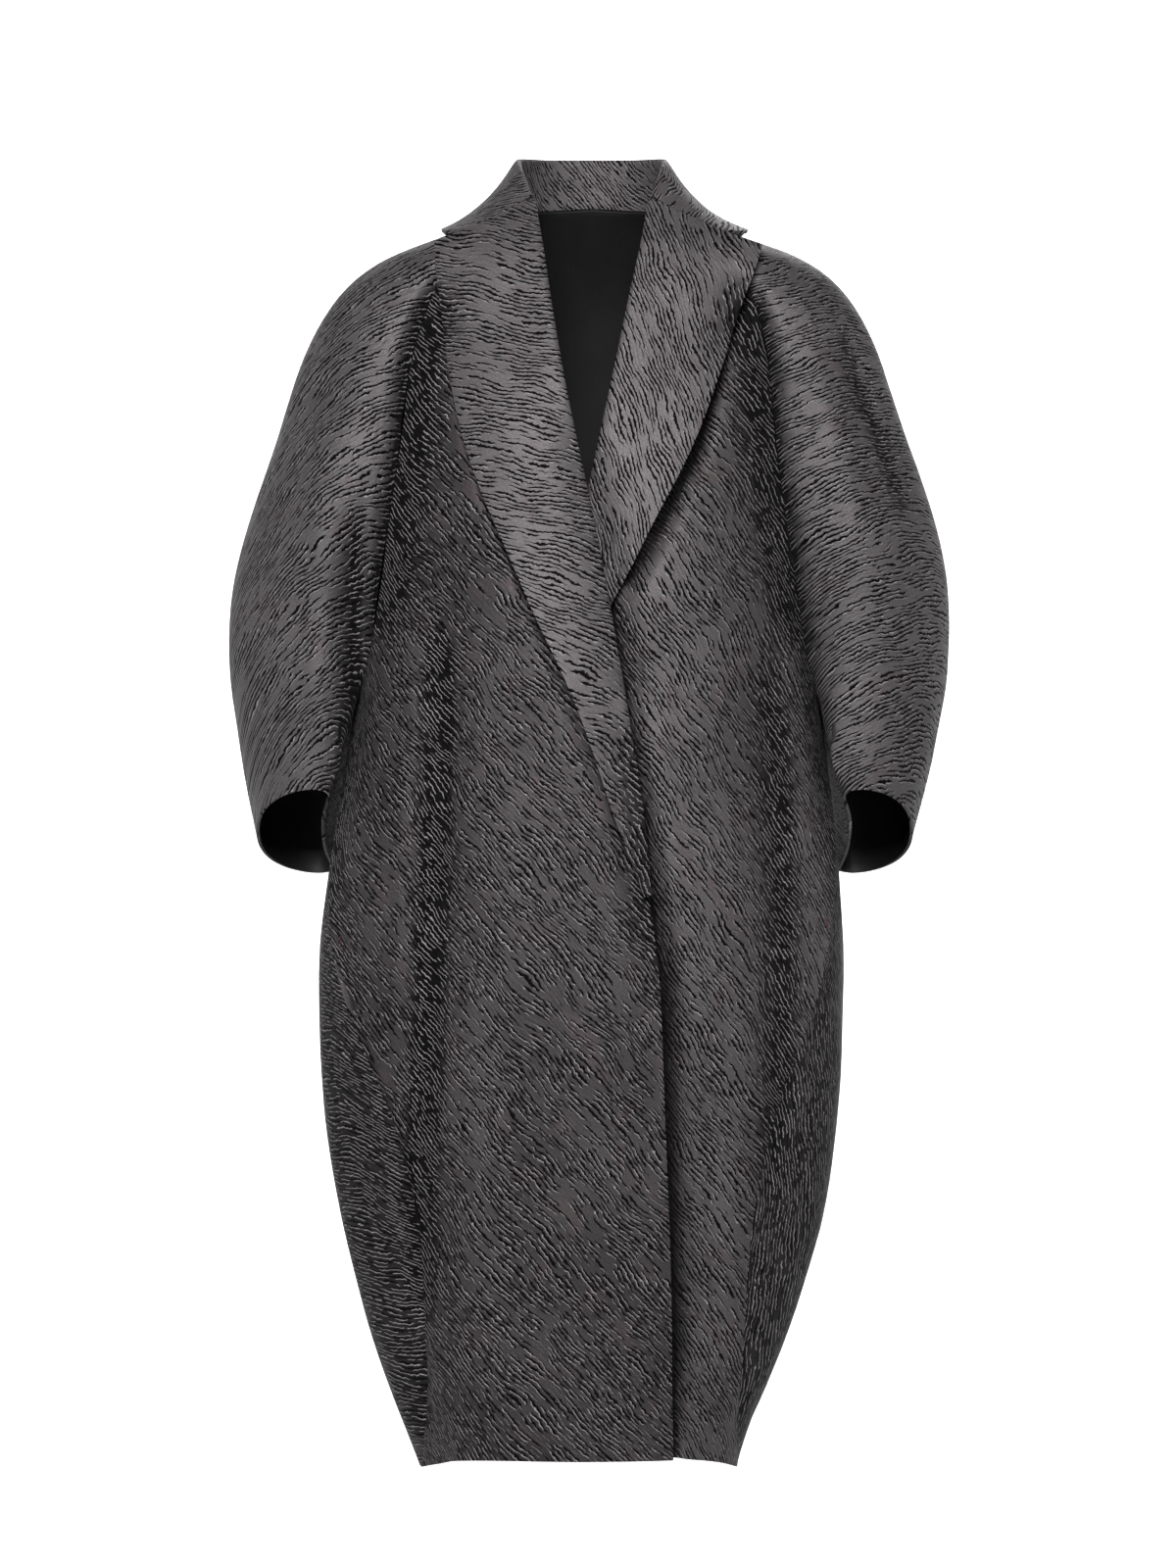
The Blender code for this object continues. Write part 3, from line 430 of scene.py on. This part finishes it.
# the left side hangs a little fuller over the shoulder and closer at the cuff and hem
hang = {
    "levels": (-1.03, -0.985, -0.945, -0.90, -0.83, -0.60, -0.51, -0.45, -0.36, -0.30, -0.21, -0.14, -0.06,
               -0.028, 0.0),
    "reaches": (-0.002, -0.006, -0.005, -0.002, 0.001, -0.003, -0.006, -0.001, 0.001, 0.005, 0.0075, 0.006,
                0.0085, 0.009, 0.0),
    "starts": (0.05, 0.06, 0.06, 0.08, 0.10, 0.16, 0.19, 0.19, 0.19, 0.18, 0.16, 0.13, 0.09, 0.08, 0.06),
    "ease": 0.07,
}


def hangMove(points):
    level = points[:, 2]
    start = np.interp(level, hang["levels"], hang["starts"])
    share = smoothStep(0.0, hang["ease"], points[:, 0] - start)
    return np.array([1, 0, 0]) * (np.interp(level, hang["levels"], hang["reaches"]) * share)[:, None]


def nestleMove(points, nestle):
    # the inner side of a sleeve settles against the body round one level
    level = np.exp(-(((points[:, 2] - nestle["level"]) / nestle["height"]) ** 2))
    share = smoothStep(nestle["outer"], nestle["inner"], points[:, 0]) * level
    return np.array([-1, 0, 0]) * (nestle["reach"] * share)[:, None]


# turned-back cloth stands away from the front more, the farther it is from its roll
turnBack = {"least": 0.0012, "away": (0.01, 0.085), "rise": 0.07}


def liftedEdge(points, roll, lift, foot):
    flat = points[:, [0, 2]]
    away = np.full(len(points), 1.0)
    for start, end in zip(np.array(roll), np.array(roll)[1:]):
        way = end - start
        along = np.clip(((flat - start) @ way) / (way @ way), 0, 1)
        away = np.minimum(away, np.linalg.norm(flat - start - along[:, None] * way, axis=1))
    rise = turnBack["least"] + lift * smoothStep(*turnBack["away"], away)
    rise = rise * smoothStep(foot, foot + turnBack["rise"], points[:, 2])
    return np.array([0, -1, 0]) * rise[:, None]


# where shade is painted into the cloth: by depth of fold, low down where it tucks in under the widest
# level, on the forward wraps and under the sleeves
darkFrom = {
    "fold": (0.0015, 0.0105), "hem": (-0.72, -1.0), "wrap": (-0.01, -0.06), "wrapLow": (-0.58, -0.74),
    "underarm": (0.08, 0.03),
}


def shadePanel(mesh, look, points, depth):
    paintedShade = smoothStep(*darkFrom["fold"], depth)
    paintedShade = np.maximum(paintedShade, look.get("hemShade", 0.0) * smoothStep(*darkFrom["hem"], points[:, 2]))
    high, low = look.get("wrapShade", (0.0, 0.0))
    wrap = high + (low - high) * smoothStep(*darkFrom["wrapLow"], points[:, 2])
    paintedShade = np.maximum(paintedShade, wrap * smoothStep(*darkFrom["wrap"], points[:, 1]))
    for line in underarms:
        near = nearness(points, line) * smoothStep(*darkFrom["underarm"], points[:, 1])
        paintedShade = np.maximum(paintedShade, near)
    # the black line of shade right beside an edge that lies on the piece
    paintedEdgeShadow = np.zeros(len(points))
    for line in look.get("ownFolds", ()):
        if "paintedEdgeShadow" in line:
            near = nearness(points, {**line, "widths": line["paintedEdgeShadow"]})
            paintedEdgeShadow = np.maximum(paintedEdgeShadow, near * smoothStep(*foldEase["turn"], -points[:, 1]))
    for name, values in (("paintedShade", np.maximum(paintedShade, paintedEdgeShadow)), ("paintedEdgeShadow", paintedEdgeShadow)):
        layer = mesh.attributes.new(name, "FLOAT", "POINT")
        layer.data.foreach_set("value", values.astype(np.float32))


# the wall as it comes from the solid: merged, turned to quads and rounded at its cut edges
wall = {"merge": 0.00003, "quadFaces": 60, "quadShape": 70, "roundFrom": 50, "roundParts": 2}


def makePanel(look):
    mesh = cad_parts[look["node"]].data.copy()
    piece = bpy.data.objects.new(look["name"], mesh)
    bpy.context.scene.collection.objects.link(piece)
    mesh.materials.clear()
    activate(piece)
    if mesh.has_custom_normals:
        bpy.ops.mesh.customdata_custom_splitnormals_clear()
    bpy.ops.object.mode_set(mode="EDIT")
    bpy.ops.mesh.select_all(action="SELECT")
    bpy.ops.mesh.remove_doubles(threshold=wall["merge"])
    bpy.ops.mesh.tris_convert_to_quads(
        face_threshold=math.radians(wall["quadFaces"]), shape_threshold=math.radians(wall["quadShape"])
    )
    bpy.ops.object.mode_set(mode="OBJECT")
    # the cut edges of the wall stay crisp while the faces are smoothed
    bm = bmesh.new()
    bm.from_mesh(mesh)
    hold = bm.edges.layers.float.get("crease_edge") or bm.edges.layers.float.new("crease_edge")
    for edge in bm.edges:
        edge[hold] = 1.0 if edge.calc_face_angle(0) > math.radians(look["holdAngle"]) else 0.0
    left = sum(len(face.verts) == 3 for face in bm.faces)
    bm.to_mesh(mesh)
    bm.free()
    smooth = piece.modifiers.new("smooth", "SUBSURF")
    smooth.levels = look["levels"]
    smooth.render_levels = look["levels"]
    applyAll(piece)
    layWeave(piece, look)
    points = readPoints(mesh)
    out = look["out"](points)
    moved = points.copy()
    depth = np.zeros(len(points))
    for line in folds + look.get("ownFolds", ()):
        way, amount = foldMove(points, line)
        moved = moved + way * amount[:, None]
        depth = np.maximum(depth, -amount)
    # shade is painted into the cloth by fold depth, low down, on the wraps, under the arms and beside edges
    shadePanel(mesh, look, points, depth)
    if look.get("roll"):
        moved = moved + liftedEdge(points, look["roll"], look["lift"], look["foot"])
    if look.get("nestle"):
        moved = moved + nestleMove(points, look["nestle"])
    moved = moved + unevenness(points, out) + hangMove(points)
    writePoints(mesh, moved)
    rounding = piece.modifiers.new("round", "BEVEL")
    rounding.width = look["edgeRound"]
    rounding.segments = wall["roundParts"]
    rounding.limit_method = "ANGLE"
    rounding.angle_limit = math.radians(wall["roundFrom"])
    applyAll(piece)
    mesh.shade_smooth()
    paintPanel(piece, look)
    print(look["name"], "made,", len(mesh.polygons), "faces,", left, "left as triangles")
    return piece


def layWeave(piece, look):
    mesh = piece.data
    layer = mesh.uv_layers.get("weave") or mesh.uv_layers.new(name="weave")
    across, up = look["flat"](readPoints(mesh))
    lean = np.radians(look["streak"](across, up))
    u = across * np.cos(lean) + up * np.sin(lean)
    v = up * np.cos(lean) - across * np.sin(lean)
    corners = np.empty(len(mesh.loops), dtype=np.int32)
    mesh.loops.foreach_get("vertex_index", corners)
    layer.data.foreach_set("uv", np.stack([u, v], axis=1)[corners].astype(np.float32).ravel())


liningTurn = -0.25  # faces turned inwards more than this are lining


def paintPanel(piece, look):
    mesh = piece.data
    for cloth in look["cloths"]:
        mesh.materials.append(cloth)
    if len(look["cloths"]) < 2:
        return
    centres = np.empty(len(mesh.polygons) * 3)
    normals = np.empty(len(mesh.polygons) * 3)
    mesh.polygons.foreach_get("center", centres)
    mesh.polygons.foreach_get("normal", normals)
    centres = centres.reshape(-1, 3)
    inner = np.sum(look["out"](centres) * normals.reshape(-1, 3), axis=1) < liningTurn
    mesh.polygons.foreach_set("material_index", inner.astype(np.int32))


def steady(degrees):
    return lambda across, along: np.full(len(across), float(degrees))


folds = (
    # the fronts dip to the raglan seams, and the sleeves stand over them
    {"track": ((-0.100, -0.034), (-0.132, -0.084), (-0.144, -0.125), (-0.151, -0.195), (-0.161, -0.262),
               (-0.171, -0.330), (-0.180, -0.385)),
     "depth": -0.014, "widths": (0.034, 0.006), "ends": 0.2},
    {"track": ((0.100, -0.034), (0.132, -0.084), (0.144, -0.125), (0.151, -0.195), (0.161, -0.262),
               (0.171, -0.330), (0.184, -0.400)),
     "depth": -0.014, "widths": (0.006, 0.034), "ends": 0.2},
    # the right front's long trough, with a soft roll beside it
    {"track": ((-0.122, -0.30), (-0.117, -0.41), (-0.120, -0.47), (-0.124, -0.59), (-0.132, -0.79),
               (-0.134, -0.95)),
     "depth": -0.016, "widths": (0.015, 0.016), "ends": 0.15},
    {"track": ((-0.148, -0.42), (-0.150, -0.60), (-0.156, -0.74)), "depth": 0.004,
     "widths": (0.014, 0.014)},
    {"track": ((-0.060, -0.60), (-0.058, -0.80), (-0.072, -1.00)), "depth": -0.004,
     "widths": (0.020, 0.020)},
    # the lapels turn away along the roll of the right one
    {"track": ((-0.026, -0.13), (0.0, -0.212), (0.020, -0.300), (0.032, -0.370), (0.044, -0.450)),
     "depth": -0.0065, "widths": (0.020, 0.032), "ends": 0.25},
    # the narrow end of the right lapel turns away round the front edge
    {"track": ((0.022, -0.37), (0.034, -0.44), (0.044, -0.50), (0.052, -0.568), (0.058, -0.625),
               (0.061, -0.690)),
     "depth": -0.009, "widths": (0.010, 0.024), "ends": 0.3},
    # the left front falls away beside the sleeve
    {"track": ((0.138, -0.26), (0.150, -0.42), (0.157, -0.56), (0.153, -0.74), (0.136, -0.92)),
     "depth": -0.0105, "widths": (0.020, 0.026)},
    {"track": ((0.105, -0.60), (0.092, -0.80), (0.098, -0.99)), "depth": -0.005, "widths": (0.016, 0.016)},
    # the seams between fronts and back, which swing forward low at each side
    {"track": ((-0.203, -0.56), (-0.197, -0.61), (-0.186, -0.655), (-0.174, -0.692), (-0.150, -0.758),
               (-0.134, -0.822), (-0.131, -0.95), (-0.126, -1.03)),
     "depth": -0.007, "widths": (0.006, 0.003), "ends": 0.06},
    {"track": ((0.203, -0.56), (0.197, -0.61), (0.186, -0.655), (0.174, -0.692), (0.150, -0.758),
               (0.134, -0.822), (0.131, -0.95), (0.126, -1.03)),
     "depth": -0.007, "widths": (0.003, 0.006), "ends": 0.06},
    # right sleeve: the crevice beside the seam and the roll outside it
    {"track": ((-0.182, -0.235), (-0.187, -0.30), (-0.187, -0.40), (-0.189, -0.47)), "depth": -0.014,
     "widths": (0.006, 0.008), "ends": 0.2},
    {"track": ((-0.212, -0.20), (-0.214, -0.33), (-0.216, -0.47)), "depth": 0.005,
     "widths": (0.014, 0.016)},
    {"track": ((-0.200, -0.06), (-0.214, -0.15), (-0.235, -0.26)), "depth": -0.004,
     "widths": (0.014, 0.014)},
    # left sleeve: the slanting trough from the shoulder
    {"track": ((0.188, -0.075), (0.209, -0.142), (0.223, -0.178), (0.243, -0.230), (0.258, -0.28)),
     "depth": -0.009, "widths": (0.010, 0.012)},
    {"track": ((0.172, -0.11), (0.196, -0.20), (0.222, -0.30)), "depth": 0.003, "widths": (0.012, 0.012)},
    {"track": ((0.250, -0.34), (0.258, -0.41), (0.262, -0.48)), "depth": -0.004, "widths": (0.013, 0.013)},
    # back
    {"side": "back", "track": ((-0.060, -0.25), (-0.062, -0.55), (-0.085, -0.88)), "depth": -0.007,
     "widths": (0.018, 0.018)},
    {"side": "back", "track": ((0.070, -0.30), (0.068, -0.60), (0.090, -0.92)), "depth": -0.007,
     "widths": (0.018, 0.018)},
    {"side": "back", "track": ((0.010, -0.45), (0.004, -0.72), (-0.005, -0.99)), "depth": 0.005,
     "widths": (0.025, 0.025)},
    {"side": "back", "track": ((-0.190, -0.16), (-0.216, -0.29), (-0.230, -0.42)), "depth": -0.006,
     "widths": (0.015, 0.015)},
    {"side": "back", "track": ((0.195, -0.15), (0.218, -0.28), (0.225, -0.40)), "depth": -0.006,
     "widths": (0.015, 0.015)},
)

# where the sleeves hang against the body the cloth is always turned from the light, and shade is painted
# there
underarms = (
    {"track": ((-0.183, -0.27), (-0.1875, -0.39), (-0.1955, -0.468), (-0.208, -0.56), (-0.212, -0.60)),
     "widths": (0.010, 0.016), "ends": 0.12},
    {"track": ((0.170, -0.32), (0.180, -0.389), (0.187, -0.4365), (0.1925, -0.476), (0.208, -0.56),
               (0.212, -0.60)),
     "widths": (0.008, 0.015), "ends": 0.12},
)

# the left lapel and front give way a little where the right front sinks on to them
givenWay = {
    "track": ((-0.050, -0.32), (-0.030, -0.355), (-0.015, -0.400), (0.0, -0.44)),
    "depth": -0.006, "widths": (0.018, 0.018), "ends": 0.2,
}

# the pieces, each with what a user would change
frontRight = {
    "node": "front_right", "name": "rightFront", "levels": 2, "holdAngle": 65, "edgeRound": 0.0006,
    "out": outFromBody, "flat": frontFlat, "streak": steady(-46), "cloths": (shadedFrontCloth, bodyLining),
    "cut": (0.34, 1.05), "area": 0.232, "slot": "coat_cloth", "restsOn": ["leftFront"],
    # it sinks a little under the edge of its lapel
    "ownFolds": (
        {"track": ((-0.119, -0.05), (-0.115, -0.10), (-0.101, -0.171), (-0.078, -0.249), (-0.043, -0.335),
                   (0.0, -0.437), (0.031, -0.507), (0.050, -0.56)),
         "depth": -0.006, "widths": (0.012, 0.004), "ends": 0.08},
    ),
    "hemShade": 0.36,
}
frontLeft = {
    "node": "front_left", "name": "leftFront", "levels": 2, "holdAngle": 65, "edgeRound": 0.0006,
    "out": outFromBody, "flat": frontFlat, "streak": steady(-52), "cloths": (litLeftFrontCloth, bodyLining),
    "cut": (0.34, 1.05), "area": 0.2255, "slot": "coat_cloth", "restsOn": ["backPanel"],
    # it sinks under the edge of its lapel and beside the edge of the front that laps over it, with painted
    # black shadow beside both edges
    "ownFolds": (
        {"track": ((0.123, -0.047), (0.119, -0.077), (0.108, -0.132), (0.088, -0.202), (0.056, -0.269),
                   (0.022, -0.326)),
         "depth": -0.010, "widths": (0.008, 0.014), "ends": 0.08, "paintedEdgeShadow": (0.005, 0.010)},
        {"track": ((0.014, -0.30), (0.026, -0.386), (0.042, -0.482), (0.052, -0.568), (0.058, -0.622),
                   (0.062, -0.724), (0.066, -0.827), (0.068, -0.932), (0.070, -1.04)),
         "depth": -0.011, "widths": (0.008, 0.014), "ends": 0.03, "paintedEdgeShadow": (0.0055, 0.012)},
        {"track": ((0.046, -0.52), (0.058, -0.622), (0.062, -0.724), (0.066, -0.827), (0.068, -0.932),
                   (0.070, -1.04)),
         "depth": -0.006, "widths": (0.020, 0.016), "ends": 0.25, "paintedEdgeShadow": (0.0165, 0.012)},
        givenWay,
    ),
    "hemShade": 0.30,
}
back = {
    "node": "back", "name": "backPanel", "levels": 2, "holdAngle": 65, "edgeRound": 0.0006,
    "out": outFromBody, "flat": backFlat,
    "streak": lambda across, along: -45 + 20 * np.clip(across / 0.36, -1, 1),
    "cloths": (shadedBackCloth, bodyLining),
    "cut": (0.80, 1.06), "area": 0.63, "slot": "coat_cloth", "restsOn": [], "wrapShade": (0.62, 0.82),
}
sleeveRight = {
    "node": "sleeve_right", "name": "rightSleeve", "levels": 2, "holdAngle": 65, "edgeRound": 0.0006,
    "out": outFromSleeve(-1), "flat": sleeveFlat(-1, 44, 24), "streak": steady(0),
    "cloths": (litSleeveCloth, bodyLining),
    "cut": (0.46, 0.58), "area": 0.1885, "slot": "coat_cloth", "restsOn": ["backPanel"],
}
sleeveLeft = {
    "node": "sleeve_left", "name": "leftSleeve", "levels": 2, "holdAngle": 65, "edgeRound": 0.0006,
    "out": outFromSleeve(1), "flat": sleeveFlat(1, 30, 4), "streak": steady(0),
    "cloths": (litSleeveCloth, bodyLining),
    "nestle": {"inner": 0.20, "outer": 0.24, "level": -0.45, "height": 0.05, "reach": 0.0028},
    "cut": (0.46, 0.58), "area": 0.1885, "slot": "coat_cloth", "restsOn": ["backPanel"],
}
lapelRight = {
    "node": "lapel_right", "name": "rightLapel", "levels": 2, "holdAngle": 75, "edgeRound": 0.0008,
    "out": outFromBody, "flat": lapelFlat,
    "streak": lambda across, along: -12 + 95 * np.clip(along, -0.5, 0), "cloths": (litLapelCloth,),
    "roll": ((-0.052, 0.012), (-0.035, -0.068), (0.0, -0.212), (0.020, -0.300), (0.052, -0.468)),
    "lift": 0.004, "foot": -0.70,
    "cut": (0.13, 0.60), "area": 0.0402, "slot": "lapel_cloth", "restsOn": ["rightFront"],
}
lapelLeft = {
    "node": "lapel_left", "name": "leftLapel", "levels": 2, "holdAngle": 75, "edgeRound": 0.0008,
    "out": outFromBody, "flat": lapelFlat, "streak": steady(-68), "cloths": (litLapelCloth,),
    "roll": ((0.054, -0.012), (0.032, -0.092), (0.010, -0.172), (-0.002, -0.212), (0.012, -0.300)),
    "lift": 0.008, "foot": -0.315,
    "ownFolds": (givenWay,),
    "cut": (0.12, 0.44), "area": 0.0293, "slot": "lapel_cloth", "restsOn": ["leftFront"],
}
collar = {
    "node": "collar", "name": "turnedCollar", "levels": 2, "holdAngle": 75, "edgeRound": 0.0008,
    "out": outFromBody, "flat": collarFlat, "streak": steady(38), "cloths": (litLapelCloth,),
    "cut": (0.52, 0.14), "area": 0.0473, "slot": "lapel_cloth",
    "restsOn": ["backPanel", "rightSleeve", "leftSleeve"],
}
pocketRight = {
    "node": "pocket_right", "name": "rightPocket", "levels": 2, "holdAngle": 65, "edgeRound": 0.0004,
    "out": outFromBody, "flat": frontFlat, "streak": steady(0), "cloths": (pocketLining,),
    "cut": (0.10, 0.16), "area": 0.0107, "slot": "pocket_lining", "restsOn": ["rightFront"],
}
pocketLeft = {
    "node": "pocket_left", "name": "leftPocket", "levels": 2, "holdAngle": 65, "edgeRound": 0.0004,
    "out": outFromBody, "flat": frontFlat, "streak": steady(0), "cloths": (pocketLining,),
    "cut": (0.10, 0.16), "area": 0.0107, "slot": "pocket_lining", "restsOn": ["leftFront"],
}

# short bar tacks at the foot of each pocket opening, sewn across in dark red thread
tackThread = {
    "stitches": 9, "length": 0.0085, "thread": 0.0006, "width": 0.0022, "slant": 0.18, "proud": 0.0002,
    "inset": 0.003, "search": 60, "searchStep": 0.001, "segments": 10, "rings": 6,
    "places": {"right": (-0.2016, -0.595), "left": (0.198, -0.580)},
    "dark": (0.045, 0.004, 0.010, 1.0), "light": (0.115, 0.010, 0.022, 1.0), "strandSize": 2600.0,
    "roughness": (0.4, 0.2),
}


def threadMaterial(name):
    material, tree, shader = newMaterial(name)
    place = Wire(tree, None).make("ShaderNodeTexCoord", {}, {}, output=3)
    strands = place.make(
        "ShaderNodeTexNoise", {}, {"Vector": place, "Scale": tackThread["strandSize"], "Detail": 1.0}
    )
    colour = strands.blend(tackThread["dark"], tackThread["light"])
    tree.links.new(colour.socket, shader.inputs["Base Color"])
    least, more = tackThread["roughness"]
    tree.links.new((least + more * strands).socket, shader.inputs["Roughness"])
    return material


def makeTack(name, place, cloth, material):
    # the cloth straight behind the place as seen from the front, or the nearest inside its seam
    surface = BVHTree.FromObject(cloth, bpy.context.evaluated_depsgraph_get())
    inwards = Vector((0, 1, 0))
    for step in range(tackThread["search"]):
        reach = place[0] - math.copysign(tackThread["searchStep"] * step, place[0])
        hit = surface.ray_cast(Vector((reach, -1.0, place[1])), inwards)[0]
        if hit is not None:
            break
    reach = hit.x - math.copysign(tackThread["inset"], hit.x)
    hit, normal, _, _ = surface.ray_cast(Vector((reach, -1.0, place[1])), inwards)
    down = Vector((0, 0, -1))
    tackDown = (down - normal * down.dot(normal)).normalized()
    tackAcross = normal.cross(tackDown).normalized()
    slant = tackAcross + tackDown * tackThread["slant"]
    axes = Matrix((
        slant * tackThread["width"] / 2, normal * tackThread["thread"], tackDown * tackThread["thread"]
    )).transposed()
    stitches = []
    for step in range(tackThread["stitches"]):
        away = (step / (tackThread["stitches"] - 1) - 0.5) * tackThread["length"]
        bpy.ops.object.select_all(action="DESELECT")
        bpy.ops.mesh.primitive_uv_sphere_add(
            segments=tackThread["segments"], ring_count=tackThread["rings"], radius=1.0
        )
        stitch = bpy.context.object
        for vertex in stitch.data.vertices:
            vertex.co = axes @ vertex.co + hit + tackDown * away + normal * tackThread["proud"]
        stitches.append(stitch)
    bpy.ops.object.select_all(action="DESELECT")
    for stitch in stitches:
        stitch.select_set(True)
    bpy.context.view_layer.objects.active = stitches[0]
    bpy.ops.object.join()
    tack = bpy.context.object
    tack.name = name
    tack.data.shade_smooth()
    tack.data.materials.append(material)
    return tack


looks = (
    back, frontRight, frontLeft, sleeveRight, sleeveLeft,
    lapelRight, lapelLeft, collar, pocketRight, pocketLeft,
)
panels = {}
for look in looks:
    piece = makePanel(look)
    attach(piece, "root")
    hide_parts(look["node"])
    panels[look["name"]] = piece
for look in looks:
    piece = panels[look["name"]]

redThread = threadMaterial("redThread")
for side, cloth in (("right", panels["rightFront"]), ("left", panels["leftFront"])):
    tack = makeTack(side + "Tack", tackThread["places"][side], cloth, redThread)
    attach(tack, "root")
print("bar tacks sewn")


# studio: a round pale sweep, a soft light in front and quieter ones behind the coat
studio = {
    "floor": -1.46, "reach": 8.0, "top": 3.0, "bend": 1.4, "bendParts": 12, "parts": 96,
    "mottle": 3.0, "dull": (0.56, 0.56, 0.56, 1.0), "pale": (0.60, 0.60, 0.60, 1.0), "roughness": 0.9,
    "air": (0.95, 0.97, 1.0, 1.0), "airStrength": 0.03,
    # name, place, what it points at, size and power
    "lights": (
        ("frontLight", (-0.15, -3.4, 1.05), (0, 0, -0.4), (1.1, 0.9), 124),
        ("leftLight", (-3.6, 2.0, 0.8), (0, 0, -0.4), (1.2, 2.4), 16),
        ("rightLight", (3.6, 2.0, 0.8), (0, 0, -0.4), (1.2, 2.4), 16),
        ("sweepLight", (0.0, 5.2, 3.6), (0, 7.9, -0.9), (5.4, 1.4), 860),
        ("backLight", (0.6, 4.2, 2.4), (0, 0, -0.5), (2.0, 1.2), 75),
    ),
}


def makeSweep():
    bpy.ops.object.select_all(action="DESELECT")
    bpy.ops.mesh.primitive_plane_add(size=2, location=(0, 0, 0))
    sweep = bpy.context.object
    sweep.name = "studioSweep"
    mesh = sweep.data
    profile = []
    for step in range(studio["bendParts"] + 1):
        turn = math.radians(90) * step / studio["bendParts"]
        reach = studio["reach"] - studio["bend"] * (1 - math.sin(turn))
        profile.append((reach, studio["floor"] + studio["bend"] * (1 - math.cos(turn))))
    profile.append((studio["reach"], studio["top"]))
    turns = [math.tau * part / studio["parts"] for part in range(studio["parts"])]
    bm = bmesh.new()
    rings = [
        [bm.verts.new((reach * math.cos(turn), reach * math.sin(turn), height)) for turn in turns]
        for reach, height in profile
    ]
    bm.faces.new(rings[0])
    for low, high in zip(rings, rings[1:]):
        for part in range(studio["parts"]):
            bm.faces.new((low[part], low[part - 1], high[part - 1], high[part]))
    bm.to_mesh(mesh)
    bm.free()
    mesh.shade_smooth()
    material, tree, shader = newMaterial("paleSweep")
    place = Wire(tree, None).make("ShaderNodeTexCoord", {}, {}, output=3)
    colour = place.noise(studio["mottle"], 2.0).blend(studio["dull"], studio["pale"])
    tree.links.new(colour.socket, shader.inputs["Base Color"])
    shader.inputs["Roughness"].default_value = studio["roughness"]
    mesh.materials.append(material)


def softLight(name, place, target, size, power):
    light = bpy.data.lights.new(name, "AREA")
    light.shape = "RECTANGLE"
    light.size, light.size_y = size
    light.energy = power
    lamp = bpy.data.objects.new(name, light)
    bpy.context.scene.collection.objects.link(lamp)
    lamp.location = place
    lamp.visible_camera = False
    aim = Vector(target) - Vector(place)
    lamp.rotation_euler = aim.to_track_quat("-Z", "Y").to_euler()


makeSweep()
for light in studio["lights"]:
    softLight(*light)
world = bpy.context.scene.world or bpy.data.worlds.new("studioAir")
bpy.context.scene.world = world
world.use_nodes = True
air = world.node_tree.nodes["Background"]
air.inputs["Color"].default_value = studio["air"]
air.inputs["Strength"].default_value = studio["airStrength"]
bpy.context.scene.view_settings.view_transform = "Standard"
print("studio lit")
